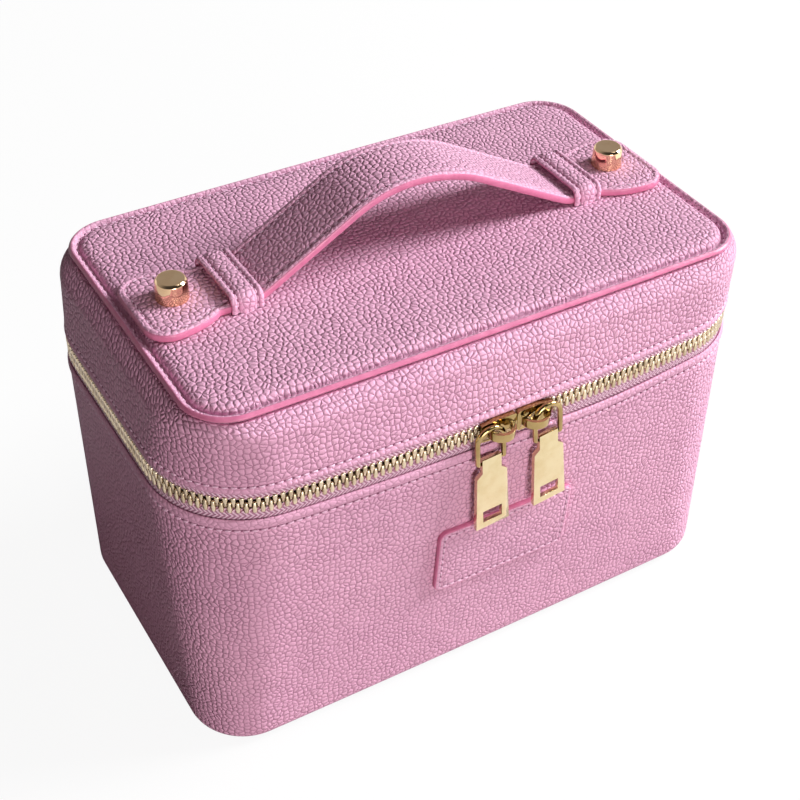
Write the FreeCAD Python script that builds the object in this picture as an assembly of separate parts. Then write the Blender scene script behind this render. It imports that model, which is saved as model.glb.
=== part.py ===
import FreeCAD, Part
import math
import os
from FreeCAD import Placement, Rotation, Vector

# Zipped train case for make-up: a leather body, a padded lid hinged at the back,
# a metal zip with two sliders, and a strap handle held by two studs and two keepers.
# Millimetres.  X runs across the width, the zip sliders are on the front at -Y, Z is up.
# The origin is the middle of the underside, on the surface that the case stands on.

os.makedirs("parts", exist_ok=True)

# ---------------------------------------------------------------- driving sizes
# Outside of the leather in plan, level by level
zip_width = 220.0             # the case is widest along the zip line
zip_depth = 136.0
zip_corner = 35.3
zip_bow = 3.1                 # bulge of the front and the back at the zip line
foot_width = 214.4
foot_depth = 124.6
foot_corner = 21.0
shoulder_width = 215.0
shoulder_depth = 128.0
shoulder_corner = 29.0
rim_width = 201.6             # middle of the painted seam edge round the lid
rim_depth = 116.2
rim_corner = 15.2
stiff_bow = 0.4               # bulge where a board holds the front and back straight
corner_chord_count = 6             # straight chords that draw each corner
front_chord_count = 2              # and each half of the front and of the back

# Heights
foot_round = 5.0              # rounding of the bottom edge
zip_height = 113.8            # middle of the zip chain
body_edge_drop = 6.6          # of the body leather's edge below the zip
lid_edge_rise = 4.2           # of the lid leather's edge above the zip
lid_wall_rise = 22.8          # from the zip to where the lid starts to round in
rim_rise = 8.0                # from there to the seam
top_rise = 1.4                # from the seam to the flat of the padded top

# Sheets
leather = 1.0
board = 1.8
lining = 0.6
glue_gap = 0.05               # between sheets that are glued or sewn together
base_board_thickness = 2.0
board_set_back = 0.4          # of a wall board and its lining from the edge of the leather
rebate_clearance = 0.3        # of the board's rebate round the end of the tape
base_board_clearance = 0.2
base_lining_clearance = 0.1

# Turned-under edge of the body leather, and the panel that covers it
turn_under = 9.0
panel_cover = 6.0

# Standing seam round the lid: both leathers turned outwards and painted on the edge
seam_leather = 0.9
seam_length = 2.7
seam_root = 2.6               # where the side leather turns under it, from the edge
seam_lean = 65.0              # degrees from upright
foam_thickness = 2.9
foam_clearance = 0.1
top_leather_root = 3.7        # where the top leather turns out into the seam, from the edge
top_leather_root_drop = 1.25
top_board_inset = 4.3
foam_edge_drop = 1.35
side_lining_inset = 6.0       # top edge of the side lining, under the top lining
# rounded border of the padded top: distance in from the seam, and drop
crown = [(14.0, 0.0), (9.0, 0.25), (5.5, 0.9)]

# Zip
tape_thickness = 0.5
tape_sewn_width = 8.0         # part of the tape behind the leather
tooth_pitch = 2.45
tooth_height = 4.1
tooth_root_width = 1.15
tooth_head_width = 0.85
tooth_thickness = 2.4
chain_width = 6.2
sliders_meet_x = 1.8          # the two sliders stand nose to nose here
slider_length = 13.5
slider_nose_half = 3.95
slider_tail_half = 3.3
slider_plate = 1.0
slider_clearance = 0.15
tape_slot_front = 0.5         # from the middle of the chain to each side of the slot for the tape
tape_slot_back = 0.8
slider_tip_half = 0.8         # the nose is cut back at both corners
slider_shoulder = 0.6         # share of its length where it starts to narrow
diamond_start = 0.4
diamond_widest = 1.6
diamond_length = 4.8
diamond_half = 1.3
diamond_blunt_half = 0.9
seat_depth = 0.3              # pieces of the slider run this far into each other
end_stop_length = 2.6
end_stop_gap = 1.0            # between the end of the chain and the hinge strip
tape_under_hinge = 4.0

# Crown of a slider, and the bail and pull that hang on it
crown_width = 3.0
crown_thickness = 1.2
crown_radius = 4.9            # outside of the arch
crown_leg = 0.5
arch_chord_count = 8
crown_centre = 6.5            # from the nose
bail_wire = 1.7
bail_radius = 4.9             # middle of the wire
bail_leg_at = 6.0             # from the nose, inside the crown
bail_stand_off = 3.6          # from the middle of the chain
bail_bend_drop = 1.8          # centre of the round end below the middle of the chain
bail_leg_length = 9.8
bend_chord_count = 10              # chords round its bend
pin_wire = 1.0
pin_depth = 1.1
pin_clearance = 0.15
pin_end_gap = 0.25
left_lean = 4.5               # degrees that each pull leans towards +X at its foot
right_lean = 6.0
pull_thickness = 1.6
pull_neck_width = 7.2
pull_neck_above = 2.0
pull_neck_below = 3.8
pull_shoulder_width = 11.4
pull_shoulder_drop = 1.9
pull_foot_width = 12.8
pull_length = 29.0            # from the pin to the foot
window_width = 7.3
window_height = 5.0
window_margin = 2.6

# Hinge at the back
hinge_half_length = 70.0
hinge_leather = 1.0
hinge_lining_set_back = 6.0   # the inside strip is shorter at each end

# Front patch
patch_width = 53.5
patch_height = 28.4
patch_thickness = 2.1
patch_corner = 3.0
patch_x = 2.5
patch_z = 58.8
patch_tilt = 1.2              # degrees, right side low

# Handle
handle_x = -1.0               # middle of the handle
tab_reach = 98.0
tab_half_width = 18.0
tab_corner = 8.5
strap_half_width = 13.0
strap_thickness = 2.8
strap_top_layer = 1.4
handle_apex_x = -4.0
handle_rise = 29.2            # of the strap's top above the flat of the lid
flank_steepness = 1.36        # slope of a flank over the slope from its foot to the apex
handle_foot_radius = 15.0
handle_lift_x = 64.0          # where the strap leaves the lid
apex_chord_count = 5               # in each half of the arch
foot_chord_count = 3
swell_chord_count = 2
tab_chord_count = 4
keeper_middle_x = 0.5         # middle between the two keepers
keeper_x = 65.0
keeper_width = 11.2
keeper_leather = 1.1
keeper_headroom = 2.2         # above the flat strap
keeper_corner = 3.0
keeper_side_gap = 0.2
hip_clearance = 2.0           # of the swelling tab from the keeper
keeper_tail = 3.2             # how far its ends go down into the lid
slit_gap = 0.15
stud_x = 84.0
stud_diameter = 9.5
stud_height = 7.4
stud_chamfer = 0.6
barrel_diameter = 5.0
barrel_clearance = 0.2
screw_diameter = 3.0
screw_clearance = 0.1
screw_end_gap = 1.0
screw_head_diameter = 11.0
screw_head_height = 1.6

# ---------------------------------------------------------------- levels that follow
body_edge_height = zip_height - body_edge_drop
lid_edge_height = zip_height + lid_edge_rise
shoulder_height = zip_height + lid_wall_rise
rim_height = shoulder_height + rim_rise
lid_top_height = rim_height + top_rise
strap_bottom = lid_top_height + 2 * glue_gap
strap_top = strap_bottom + strap_thickness
handle_apex_height = lid_top_height + handle_rise
foot_level = leather + glue_gap + foot_round
base_board_bottom = 2 * (leather + glue_gap)
base_lining_bottom = base_board_bottom + base_board_thickness + glue_gap
tape_offset = leather + glue_gap + tape_thickness / 2
tape_room = leather + 2 * glue_gap + tape_thickness
board_back = leather + glue_gap + board
lining_front = board_back + glue_gap
lining_back = lining_front + lining
chain_bottom = zip_height - chain_width / 2
chain_top = zip_height + chain_width / 2
lower_tape_bottom = body_edge_height - tape_sewn_width
upper_tape_top = lid_edge_height + tape_sewn_width
rebate_bottom = lower_tape_bottom - rebate_clearance
rebate_top = upper_tape_top + rebate_clearance
slider_inside = tooth_thickness / 2 + slider_clearance
slider_face = slider_inside + slider_plate


flat_within = 1e-7


def unit(degrees):
    """Direction in plan at an angle from +X."""
    return Vector(math.cos(math.radians(degrees)), math.sin(math.radians(degrees)), 0)


def piece_length(piece):
    """Length of a straight (start, end) or an arc (centre, radius, start, end in degrees)."""
    if len(piece) == 2:
        return (piece[1] - piece[0]).Length
    return piece[1] * math.radians(piece[3] - piece[2])


def piece_point(piece, share):
    """Point on a piece at a share of its length, and the direction square to it, outwards."""
    if len(piece) == 2:
        along = piece[1] - piece[0]
        outward = Vector(along.y, -along.x, 0)
        outward.normalize()
        return piece[0] + along * share, outward
    centre, radius, start, end = piece
    outward = unit(start + (end - start) * share)
    return centre + outward * radius, outward


chord_counts = (front_chord_count, corner_chord_count, 1, corner_chord_count, front_chord_count)


class Outline:
    """Plan outline of the case: straight sides, bowed front and back, and tangent corner arcs."""

    def __init__(self, width, depth, corner, bow):
        self.width = width
        self.depth = depth
        self.corner = corner
        self.bow = bow

    def inset(self, gap):
        """The same outline, smaller by a gap all round."""
        return Outline(self.width - 2 * gap, self.depth - 2 * gap, self.corner - gap, self.bow)

    def blend(self, other, share):
        """The outline part of the way towards another one."""
        def mix(a, b):
            return a + (b - a) * share
        return Outline(
            mix(self.width, other.width),
            mix(self.depth, other.depth),
            mix(self.corner, other.corner),
            mix(self.bow, other.bow),
        )

    def walk(self):
        """Pieces met walking anticlockwise from the middle of the front to the middle of the back.

        Each piece is a straight (start, end) or an arc (centre, radius, start, end in degrees).
        """
        half_chord = self.width / 2 - self.corner
        bow_radius = (half_chord**2 + self.bow**2) / (2 * self.bow)
        bow_centre = Vector(0, self.depth / 2 - bow_radius, 0)
        # the corner arc touches both the bowed back and the straight side
        rise = math.sqrt((bow_radius - self.corner)**2 - half_chord**2)
        bearing = math.degrees(math.atan2(rise, half_chord))
        corner_y = bow_centre.y + rise
        return [
            (-bow_centre, bow_radius, 270, 360 - bearing),
            (Vector(half_chord, -corner_y, 0), self.corner, 360 - bearing, 360),
            (Vector(self.width / 2, -corner_y, 0), Vector(self.width / 2, corner_y, 0)),
            (Vector(half_chord, corner_y, 0), self.corner, 0, bearing),
            (bow_centre, bow_radius, bearing, 90),
        ]

    def ring(self, z):
        """Corners of the outline drawn in chords at a height, always as many and in the same order."""
        half = []
        for piece, chords in zip(self.walk(), chord_counts):
            half += [piece_point(piece, k / chords)[0] + Vector(0, 0, z) for k in range(chords)]
        half.append(Vector(0, self.depth / 2, z))
        return half + [Vector(-p.x, p.y, p.z) for p in half[-2:0:-1]]

    def half_length(self):
        return sum(piece_length(piece) for piece in self.walk())

    def stand(self, distance):
        """Point and outward direction at a distance along the outline from the middle of the front."""
        left = abs(distance)
        for piece in self.walk():
            length = piece_length(piece)
            if left <= length:
                break
            left -= length
        point, outward = piece_point(piece, left / length)
        if distance < 0:
            outward.x, point.x = -outward.x, -point.x
        return point, outward


foot = Outline(foot_width, foot_depth, foot_corner, stiff_bow)
zip_line = Outline(zip_width, zip_depth, zip_corner, zip_bow)
shoulder = Outline(shoulder_width, shoulder_depth, shoulder_corner, stiff_bow)
rim = Outline(rim_width, rim_depth, rim_corner, stiff_bow)


def wall(z, inset=0.0):
    """Ring round the upright wall at a height, so far inside the face of the leather."""
    if z < zip_height:
        low, low_z, high, high_z = foot, foot_level, zip_line, zip_height
    else:
        low, low_z, high, high_z = zip_line, zip_height, shoulder, shoulder_height
    share = (z - low_z) / (high_z - low_z)
    pairs = zip(low.inset(inset).ring(low_z), high.inset(inset).ring(high_z))
    return [a + (b - a) * share for a, b in pairs]


def polygon(points):
    """Flat face with these corners."""
    return Part.Face(Part.makePolygon(points + points[:1]))


def quad(a, b, c, d, right):
    """Flat face through four corners in order, or two triangles where they aren't in one plane.

    The fold between two triangles leans the same way in every sheet, and the left half mirrors the right.
    """
    normal = (c - a).cross(d - b).normalize()
    if abs((b - a).dot(normal)) < flat_within:
        return [polygon([a, b, c, d])]
    if right == (d.z > a.z):
        return [polygon([a, b, c]), polygon([a, c, d])]
    return [polygon([a, b, d]), polygon([b, c, d])]


def skin(rings, closed):
    """Solid whose surface runs from ring to ring: back to the first one if closed, otherwise capped."""
    pairs = list(zip(rings, rings[1:]))
    if closed:
        pairs.append((rings[-1], rings[0]))
    faces = []
    for lower, upper in pairs:
        for k in range(len(lower)):
            faces += quad(lower[k - 1], lower[k], upper[k], upper[k - 1], 0 < k <= len(lower) / 2)
    if not closed:
        faces += [polygon(rings[0]), polygon(rings[-1])]
    shell = Part.Shell(faces)
    shell.sewShape()
    solid = Part.Solid(shell)
    if solid.Volume < 0:
        solid.reverse()
    return solid


def walls(heights, inset=0.0):
    """Rings round the upright wall at these heights.

    Sheets that lie on each other change level at the same heights, so that they never cross.
    """
    return [wall(z, inset) for z in heights]


def box(x0, x1, y0, y1, z0, z1):
    return Part.makeBox(x1 - x0, y1 - y0, z1 - z0, Vector(x0, y0, z0))


def rod(radius, start, end):
    """Round bar between two points."""
    return Part.makeCylinder(radius, (end - start).Length, start, end - start)


def bar(across_flats, start, end):
    """Eight-sided bar between two points, level or upright."""
    axis = end - start
    side = axis.cross(Vector(0, 1, 0)).normalize()
    reach = across_flats / 2 / math.cos(math.pi / 8)
    corners = []
    for k in range(8):
        angle = math.pi * (2 * k + 1) / 8
        corners.append(start + side * reach * math.cos(angle) + Vector(0, reach * math.sin(angle), 0))
    return prism(corners, axis)


def prism(points, push):
    """Flat polygon pushed along a direction."""
    return polygon(points).extrude(push)


def save(name, shape):
    """Write one node and report it."""
    if not shape.isValid():
        print("NOT VALID", name)
    shape.exportStep("parts/" + name + ".step")
    size = shape.BoundBox
    print(f"{name:18s} {len(shape.Solids):4d} solids {shape.Volume:10.1f} mm3"
          f"  x {size.XMin:7.1f} {size.XMax:7.1f}  y {size.YMin:6.1f} {size.YMax:6.1f}"
          f"  z {size.ZMin:6.1f} {size.ZMax:6.1f}")


# ---------------------------------------------------------------- body
def bottom_round(radius, angles):
    """Rings round the bottom edge, at a radius about the rounding's centre."""
    rings = []
    for angle in angles:
        turn = math.radians(angle)
        outline = foot.inset(foot_round - radius * math.cos(turn))
        rings.append(outline.ring(foot_level - radius * math.sin(turn)))
    return rings


turned = foot.inset(foot_round + turn_under)
inner_round = foot_round - leather
body_cover = skin(
    [turned.ring(leather + glue_gap)]
    + bottom_round(foot_round, (90, 45, 0))
    + walls([rebate_bottom, body_edge_height])
    + walls([body_edge_height, rebate_bottom], leather)
    + bottom_round(inner_round, (0, 45, 90))
    + [turned.ring(2 * leather + glue_gap)],
    closed=True,
)
body_board_top = body_edge_height - board_set_back
body_board = skin(
    walls([foot_level, rebate_bottom], leather + glue_gap)
    + walls([rebate_bottom, body_board_top], tape_room)
    + walls([body_board_top, rebate_bottom, foot_level], board_back),
    closed=True,
)
body_lining_bottom = base_lining_bottom + lining + glue_gap
body_lining = skin(
    [foot.inset(lining_front).ring(body_lining_bottom)]
    + walls([foot_level, rebate_bottom, body_board_top], lining_front)
    + walls([body_board_top, rebate_bottom, foot_level], lining_back)
    + [foot.inset(lining_back).ring(body_lining_bottom)],
    closed=True,
)


def sheet(outline, bottom, thickness):
    """Flat sheet of an outline."""
    return prism(outline.ring(bottom), Vector(0, 0, thickness))


base_panel = sheet(foot.inset(foot_round + turn_under - panel_cover), 0, leather)
base_board = sheet(foot.inset(foot_round + base_board_clearance), base_board_bottom, base_board_thickness)
base_lining = sheet(foot.inset(lining_back + base_lining_clearance), base_lining_bottom, lining)

# ---------------------------------------------------------------- front patch
patch_ring = skin(
    walls([foot_level, rebate_bottom], -glue_gap)
    + walls([rebate_bottom, foot_level], -glue_gap - patch_thickness),
    closed=True,
)
patch_block = box(-patch_width / 2, patch_width / 2, -zip_depth, 0, -patch_height / 2, patch_height / 2)
corner_edges = [e for e in patch_block.Edges if abs(e.tangentAt(e.FirstParameter).y) > 0.9]
patch_block = patch_block.makeChamfer(patch_corner, corner_edges)
patch_block.Placement = Placement(Vector(patch_x, 0, patch_z), Rotation(Vector(0, 1, 0), patch_tilt))
front_patch = patch_ring.common(patch_block)

# ---------------------------------------------------------------- lid
lean_out = math.sin(math.radians(seam_lean))
lean_up = math.cos(math.radians(seam_lean))


def seam_level(back, above):
    """Outline and height on the standing seam: so far back from its edge, so far above its middle plane."""
    return rim.inset(back * lean_out + above * lean_up), rim_height - back * lean_up + above * lean_out


def seam(back, above):
    outline, z = seam_level(back, above)
    return outline.ring(z)


groove, groove_height = seam_level(seam_length, -seam_leather)


def rounded_shoulder(angle, inset):
    """Ring on the rounded shoulder, from the upright wall (0) to the seam groove (90 degrees)."""
    turn = math.radians(angle)
    outline = shoulder.blend(groove, 1 - math.cos(turn))
    z = shoulder_height + (groove_height - shoulder_height) * math.sin(turn)
    return outline.inset(inset * math.cos(turn)).ring(z - inset * math.sin(turn))


lid_side_cover = skin(
    walls([lid_edge_height, rebate_top])
    + [rounded_shoulder(angle, 0) for angle in (0, 30, 60, 90)]
    + [
        seam(0, -seam_leather),
        seam(0, 0),
        seam(seam_length, 0),
        rim.inset(seam_root + leather / 2).ring(groove_height - glue_gap),
        rounded_shoulder(90, leather),
    ]
    + [rounded_shoulder(angle, leather) for angle in (60, 30, 0)]
    + walls([rebate_top, lid_edge_height], leather),
    closed=True,
)
lid_board_bottom = lid_edge_height + board_set_back
lid_side_board = skin(
    walls([lid_board_bottom, rebate_top], tape_room)
    + walls([rebate_top, shoulder_height], leather + glue_gap)
    + walls([shoulder_height, rebate_top, lid_board_bottom], board_back),
    closed=True,
)

# padded top: leather crowned over foam, stiff board and lining below
def crowned(below, inset=0.0):
    """Rings from the flat of the padded top down to its seam, so far below its outside."""
    return [rim.inset(reach + inset).ring(lid_top_height - drop - below) for reach, drop in crown]


lid_top_cover = skin(
    crowned(0)
    + [
        seam(seam_length, glue_gap + seam_leather),
        seam(0, glue_gap + seam_leather),
        seam(0, glue_gap),
        seam(seam_length, glue_gap),
        rim.inset(top_leather_root).ring(rim_height - top_leather_root_drop),
    ]
    + crowned(seam_leather)[::-1],
    closed=False,
)
foam_top = lid_top_height - seam_leather - glue_gap
foam_bottom = foam_top - foam_thickness
top_board_edge = rim.inset(top_board_inset)
lid_top_foam = skin(
    crowned(seam_leather + glue_gap, foam_clearance)
    + [top_board_edge.ring(rim_height - foam_edge_drop), top_board_edge.ring(foam_bottom)],
    closed=False,
)
top_board_bottom = foam_bottom - glue_gap - board
top_lining_bottom = top_board_bottom - glue_gap - lining
lid_top_board = sheet(top_board_edge, top_board_bottom, board)
lid_top_lining = sheet(top_board_edge, top_lining_bottom, lining)
lid_side_lining = skin(
    walls([lid_board_bottom, rebate_top, shoulder_height], lining_front)
    + [
        rim.inset(side_lining_inset).ring(top_lining_bottom - glue_gap),
        rim.inset(side_lining_inset).ring(top_lining_bottom - glue_gap - lining),
        shoulder.inset(lining_back).ring(shoulder_height - lining),
    ]
    + walls([rebate_top, lid_board_bottom], lining_back),
    closed=True,
)

# ---------------------------------------------------------------- zip
def wall_band(heights, outer, inner):
    """Upright band that follows the wall between two insets."""
    return skin(walls(heights, outer) + walls(heights[::-1], inner), closed=True)


tape_end = hinge_half_length - tape_under_hinge
behind_hinge = box(-tape_end, tape_end, 0, zip_depth, 0, shoulder_height)
tape_outer = leather + glue_gap
tape_inner = tape_outer + tape_thickness
lower_heights = [lower_tape_bottom, body_edge_height, chain_bottom]
upper_heights = [chain_top, lid_edge_height, upper_tape_top]
zip_tape_lower = wall_band(lower_heights, tape_outer, tape_inner).cut(behind_hinge)
zip_tape_upper = wall_band(upper_heights, tape_outer, tape_inner).cut(behind_hinge)

chain_line = zip_line.inset(tape_offset)
chain_end = chain_line.half_length() - hinge_half_length - end_stop_gap
diamond_zone = diamond_length + tooth_root_width


def tooth(distance, root_z, rise):
    """One flat-sided tooth that stands on the edge of its tape and tapers to its head."""
    point, outward = chain_line.stand(distance)
    along = Vector(-outward.y, outward.x, 0)
    base = point - outward * tooth_thickness / 2 + Vector(0, 0, root_z)
    top = base + Vector(0, 0, rise)
    root_half = along * tooth_root_width / 2
    head_half = along * tooth_head_width / 2
    corners = [base - root_half, base + root_half, top + head_half, top - head_half]
    return prism(corners, outward * tooth_thickness)


def teeth(phase, root_z, rise):
    """A row of teeth, leaving out those that the diamonds of the two sliders hold apart."""
    count = int(chain_end / tooth_pitch)
    places = [(k + phase) * tooth_pitch for k in range(-count, count)]
    places = [s for s in places if abs(s - sliders_meet_x) > diamond_zone]
    places = [s for s in places if abs(s) < chain_end - end_stop_length - tooth_root_width]
    return Part.makeCompound([tooth(s, root_z, rise) for s in places])


# the two rows stand half a pitch apart
zip_teeth_lower = teeth(0.25, chain_bottom + glue_gap, tooth_height)
zip_teeth_upper = teeth(0.75, chain_top - glue_gap, -tooth_height)


def end_stop(side):
    """Clamp across both rows at one end of the chain."""
    point, outward = chain_line.stand(side * (chain_end - end_stop_length / 2))
    half = end_stop_length / 2
    height = chain_width - 2 * glue_gap
    block = box(-half, half, -tooth_thickness / 2, tooth_thickness / 2, 0, height)
    turn = math.degrees(math.atan2(outward.x, -outward.y))
    corner = point + Vector(0, 0, chain_bottom + glue_gap)
    block.Placement = Placement(corner, Rotation(Vector(0, 0, 1), turn))
    return block


zip_end_stops = Part.makeCompound([end_stop(-1), end_stop(1)])

# ---------------------------------------------------------------- hinge
hinge_reach = box(-hinge_half_length, hinge_half_length, 0, zip_depth, 0, rim_height)
lining_strip_half = hinge_half_length - hinge_lining_set_back
lining_reach = box(-lining_strip_half, lining_strip_half, 0, zip_depth, 0, rim_height)


hinge_heights = [rebate_bottom, body_edge_height, zip_height, lid_edge_height, rebate_top]
hinge_strip = wall_band(hinge_heights, -glue_gap - hinge_leather, -glue_gap).common(hinge_reach)
hinge_lining_front = lining_back + glue_gap
hinge_lining = wall_band(hinge_heights, hinge_lining_front, hinge_lining_front + lining).common(lining_reach)


# ---------------------------------------------------------------- sliders
# A slider is built at the middle of the chain with its nose at x = 0, its tail towards +X
# and its face towards -Y; the left one is its mirror image.
def make_slider():
    outline = [
        (glue_gap, slider_nose_half - slider_tip_half),
        (slider_tip_half, slider_nose_half),
        (slider_length * slider_shoulder, slider_nose_half),
        (slider_length, slider_tail_half),
    ]
    points = [Vector(x, -slider_face, z) for x, z in outline]
    points += [Vector(x, -slider_face, -z) for x, z in outline[::-1]]
    body = prism(points, Vector(0, 2 * slider_face, 0))
    channel_half = chain_width / 2 + slider_clearance
    body = body.cut(box(-1, slider_length + 1, -slider_inside, slider_inside, -channel_half, channel_half))
    # the wall of the lid leans inwards, so the back plate has no flange above the chain
    body = body.cut(box(-1, slider_length + 1, -tape_slot_front, tape_slot_back, -zip_depth, 0))
    body = body.cut(box(-1, slider_length + 1, -tape_slot_front, slider_inside, 0, zip_depth))
    outline = [(diamond_start, diamond_blunt_half), (diamond_widest, diamond_half), (diamond_length, 0)]
    back_y = -slider_inside - seat_depth
    points = [Vector(x, back_y, z) for x, z in outline] + [Vector(x, back_y, -z) for x, z in outline[1::-1]]
    diamond = prism(points, Vector(0, -2 * back_y, 0))
    crown_base = -slider_face + seat_depth
    arch = arch_block(crown_radius, crown_base).cut(arch_block(crown_radius - crown_thickness, crown_base))
    return body.fuse([diamond, arch]).removeSplitter()


def arch_block(radius, base_y):
    """Block as wide as the crown, half round in plan on two short legs, bulging towards -Y."""
    spring = -slider_face - crown_leg
    bottom = -crown_width / 2
    points = [Vector(crown_centre - radius, base_y, bottom)]
    for k in range(arch_chord_count + 1):
        turn = math.pi * (1 + k / arch_chord_count)
        x = crown_centre + radius * math.cos(turn)
        points.append(Vector(x, spring + radius * math.sin(turn), bottom))
    points.append(Vector(crown_centre + radius, base_y, bottom))
    return prism(points, Vector(0, 0, crown_width))


def make_bail():
    """U of wire, drawn with eight sides; its ends turn inwards as pins for the pull."""
    middle = Vector(bail_leg_at + bail_radius, -bail_stand_off, -bail_bend_drop)
    drop = Vector(0, 0, -bail_leg_length)
    corner_radius = bail_wire / 2 / math.cos(math.pi / 8)

    def section(turn, lower):
        """Ring of eight corners round the wire, square to the bend."""
        across = Vector(math.cos(turn), 0, math.sin(turn))
        corners = []
        for k in range(8):
            angle = math.pi * (2 * k + 1) / 8
            reach = bail_radius + corner_radius * math.cos(angle)
            corners.append(middle + across * reach + Vector(0, corner_radius * math.sin(angle), 0) + lower)
        return corners

    level = Vector(0, 0, 0)
    bend = [section(math.pi * (1 - k / bend_chord_count), level) for k in range(bend_chord_count + 1)]
    wire = skin([section(math.pi, drop)] + bend + [section(0, drop)], closed=False)
    pins = []
    for side in (-1, 1):
        start = middle + Vector(side * bail_radius, 0, bail_wire / 2) + drop
        inward = Vector(-side * (bail_wire / 2 + pin_side_gap + pin_depth), 0, 0)
        pins.append(bar(pin_wire, start, start + inward))
    return wire.fuse(pins)


pin_side_gap = bail_radius - bail_wire / 2 - pull_neck_width / 2
pin_height = -bail_bend_drop - bail_leg_length + bail_wire / 2


def make_pull():
    """Flat plate: a neck between the legs of the bail, sloping shoulders, and a window near the foot."""
    middle_x = bail_leg_at + bail_radius
    face_y = -bail_stand_off - pull_thickness / 2
    foot_z = pin_height - pull_length
    outline = [
        (pull_neck_width / 2, pin_height + pull_neck_above),
        (pull_neck_width / 2, pin_height - pull_neck_below),
        (pull_shoulder_width / 2, pin_height - pull_neck_below - pull_shoulder_drop),
        (pull_foot_width / 2, foot_z),
    ]
    points = [Vector(middle_x + x, face_y, z) for x, z in outline]
    points += [Vector(middle_x - x, face_y, z) for x, z in outline[::-1]]
    plate = prism(points, Vector(0, pull_thickness, 0))
    window_z = foot_z + window_margin
    plate = plate.cut(box(middle_x - window_width / 2, middle_x + window_width / 2, face_y - 1,
                          face_y + pull_thickness + 1, window_z, window_z + window_height))
    for side in (-1, 1):
        mouth = Vector(middle_x + side * pull_neck_width / 2, -bail_stand_off, pin_height)
        bottom = mouth - Vector(side * (pin_depth + pin_end_gap), 0, 0)
        plate = plate.cut(rod(pin_wire / 2 + pin_clearance, mouth, bottom))
    return plate


def seat_on_chain(shape, side):
    """Mirror a right-hand piece for the left, and set it on the chain at the meeting point."""
    if side < 0:
        shape = shape.mirror(Vector(0, 0, 0), Vector(1, 0, 0))
    middle = sliders_meet_x + side * slider_length / 2
    point, outward = chain_line.stand(middle)
    turn = math.degrees(math.atan2(outward.x, -outward.y))
    placed = shape.copy()
    placed.translate(Vector(-side * slider_length / 2, 0, 0))
    placed.rotate(Vector(0, 0, 0), Vector(0, 0, 1), turn)
    placed.translate(point + Vector(0, 0, zip_height))
    return placed


def leaning(shape, side, lean):
    """Lean a hanging piece about the middle of the crown, its foot towards +X of the case."""
    leaned = shape.copy()
    leaned.rotate(Vector(bail_leg_at, -bail_stand_off, 0), Vector(0, 1, 0), -side * lean)
    return leaned


slider_right = seat_on_chain(make_slider(), 1)
slider_left = seat_on_chain(make_slider(), -1)
bail_right = seat_on_chain(leaning(make_bail(), 1, right_lean), 1)
bail_left = seat_on_chain(leaning(make_bail(), -1, left_lean), -1)
pull_right = seat_on_chain(leaning(make_pull(), 1, right_lean), 1)
pull_left = seat_on_chain(leaning(make_pull(), -1, left_lean), -1)


# ---------------------------------------------------------------- handle
def arc_points(centre, radius, start, end, chords):
    """Points in side view on an arc between two bearings in radians."""
    points = []
    for k in range(chords + 1):
        bearing = start + (end - start) * k / chords
        points.append(centre + Vector(math.cos(bearing), 0, math.sin(bearing)) * radius)
    return points


def strap_curve(depth, side):
    """Half of the strap's side view at a depth below its top face, from the apex outwards."""
    lift_x = handle_lift_x + side * (handle_x - handle_apex_x)
    rise = handle_apex_height - strap_top
    slope = math.atan(flank_steepness * rise / lift_x)
    # radii at apex and foot that let a straight flank of this slope touch both
    radii = (lift_x * math.tan(slope) - rise) * math.cos(slope) / (1 - math.cos(slope))
    apex_radius = radii - handle_foot_radius
    apex = Vector(0, 0, handle_apex_height - apex_radius)
    lift = Vector(lift_x, 0, strap_top + handle_foot_radius)
    points = arc_points(apex, apex_radius - depth, math.pi / 2, math.pi / 2 - slope, apex_chord_count)
    foot_start = -math.pi / 2 - slope
    points += arc_points(lift, handle_foot_radius + depth, foot_start, -math.pi / 2, foot_chord_count)
    tip_x = tab_reach + 1 + side * (handle_x - handle_apex_x)
    points.append(Vector(tip_x, 0, strap_top - depth))
    return [Vector(handle_apex_x + side * p.x, 0, p.z) for p in points]


def strap_slab(top_depth, bottom_depth):
    """The arched strap between two depths, before it is cut to its outline."""
    upper = strap_curve(top_depth, -1)[::-1] + strap_curve(top_depth, 1)[1:]
    lower = strap_curve(bottom_depth, -1)[::-1] + strap_curve(bottom_depth, 1)[1:]
    slab = prism(upper + lower[::-1], Vector(0, 2 * tab_half_width + 2, 0))
    slab.translate(Vector(0, -tab_half_width - 1, 0))
    return slab


def strap_plan():
    """Plan of the strap: narrow between the keepers, swelling to a rounded tab at each end."""
    hip_x = keeper_x + keeper_width / 2 + hip_clearance
    swell_x = tab_reach - tab_corner
    swell = tab_half_width - strap_half_width
    swell_radius = ((swell_x - hip_x)**2 + swell**2) / (2 * swell)
    quarter = []
    for k in range(swell_chord_count):
        bearing = math.asin((swell_x - hip_x) / swell_radius) * (1 - k / swell_chord_count)
        quarter.append((swell_x - swell_radius * math.sin(bearing),
                        tab_half_width - swell_radius * (1 - math.cos(bearing))))
    for k in range(tab_chord_count + 1):
        bearing = math.pi / 2 * k / tab_chord_count
        quarter.append((swell_x + tab_corner * math.sin(bearing),
                        tab_half_width - tab_corner * (1 - math.cos(bearing))))
    half = [(x, -y) for x, y in quarter] + quarter[::-1]
    points = [Vector(handle_x + x, y, 0) for x, y in half]
    points += [Vector(handle_x - x, y, 0) for x, y in half[::-1]]
    return prism(points, Vector(0, 0, 2 * handle_apex_height))


def on_stud_axes(make, size, bottom, top):
    """The same bar or rod on both stud axes."""
    axes = [Vector(handle_x + side * stud_x, 0, 0) for side in (-1, 1)]
    return [make(size, axis + Vector(0, 0, bottom), axis + Vector(0, 0, top)) for axis in axes]


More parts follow.
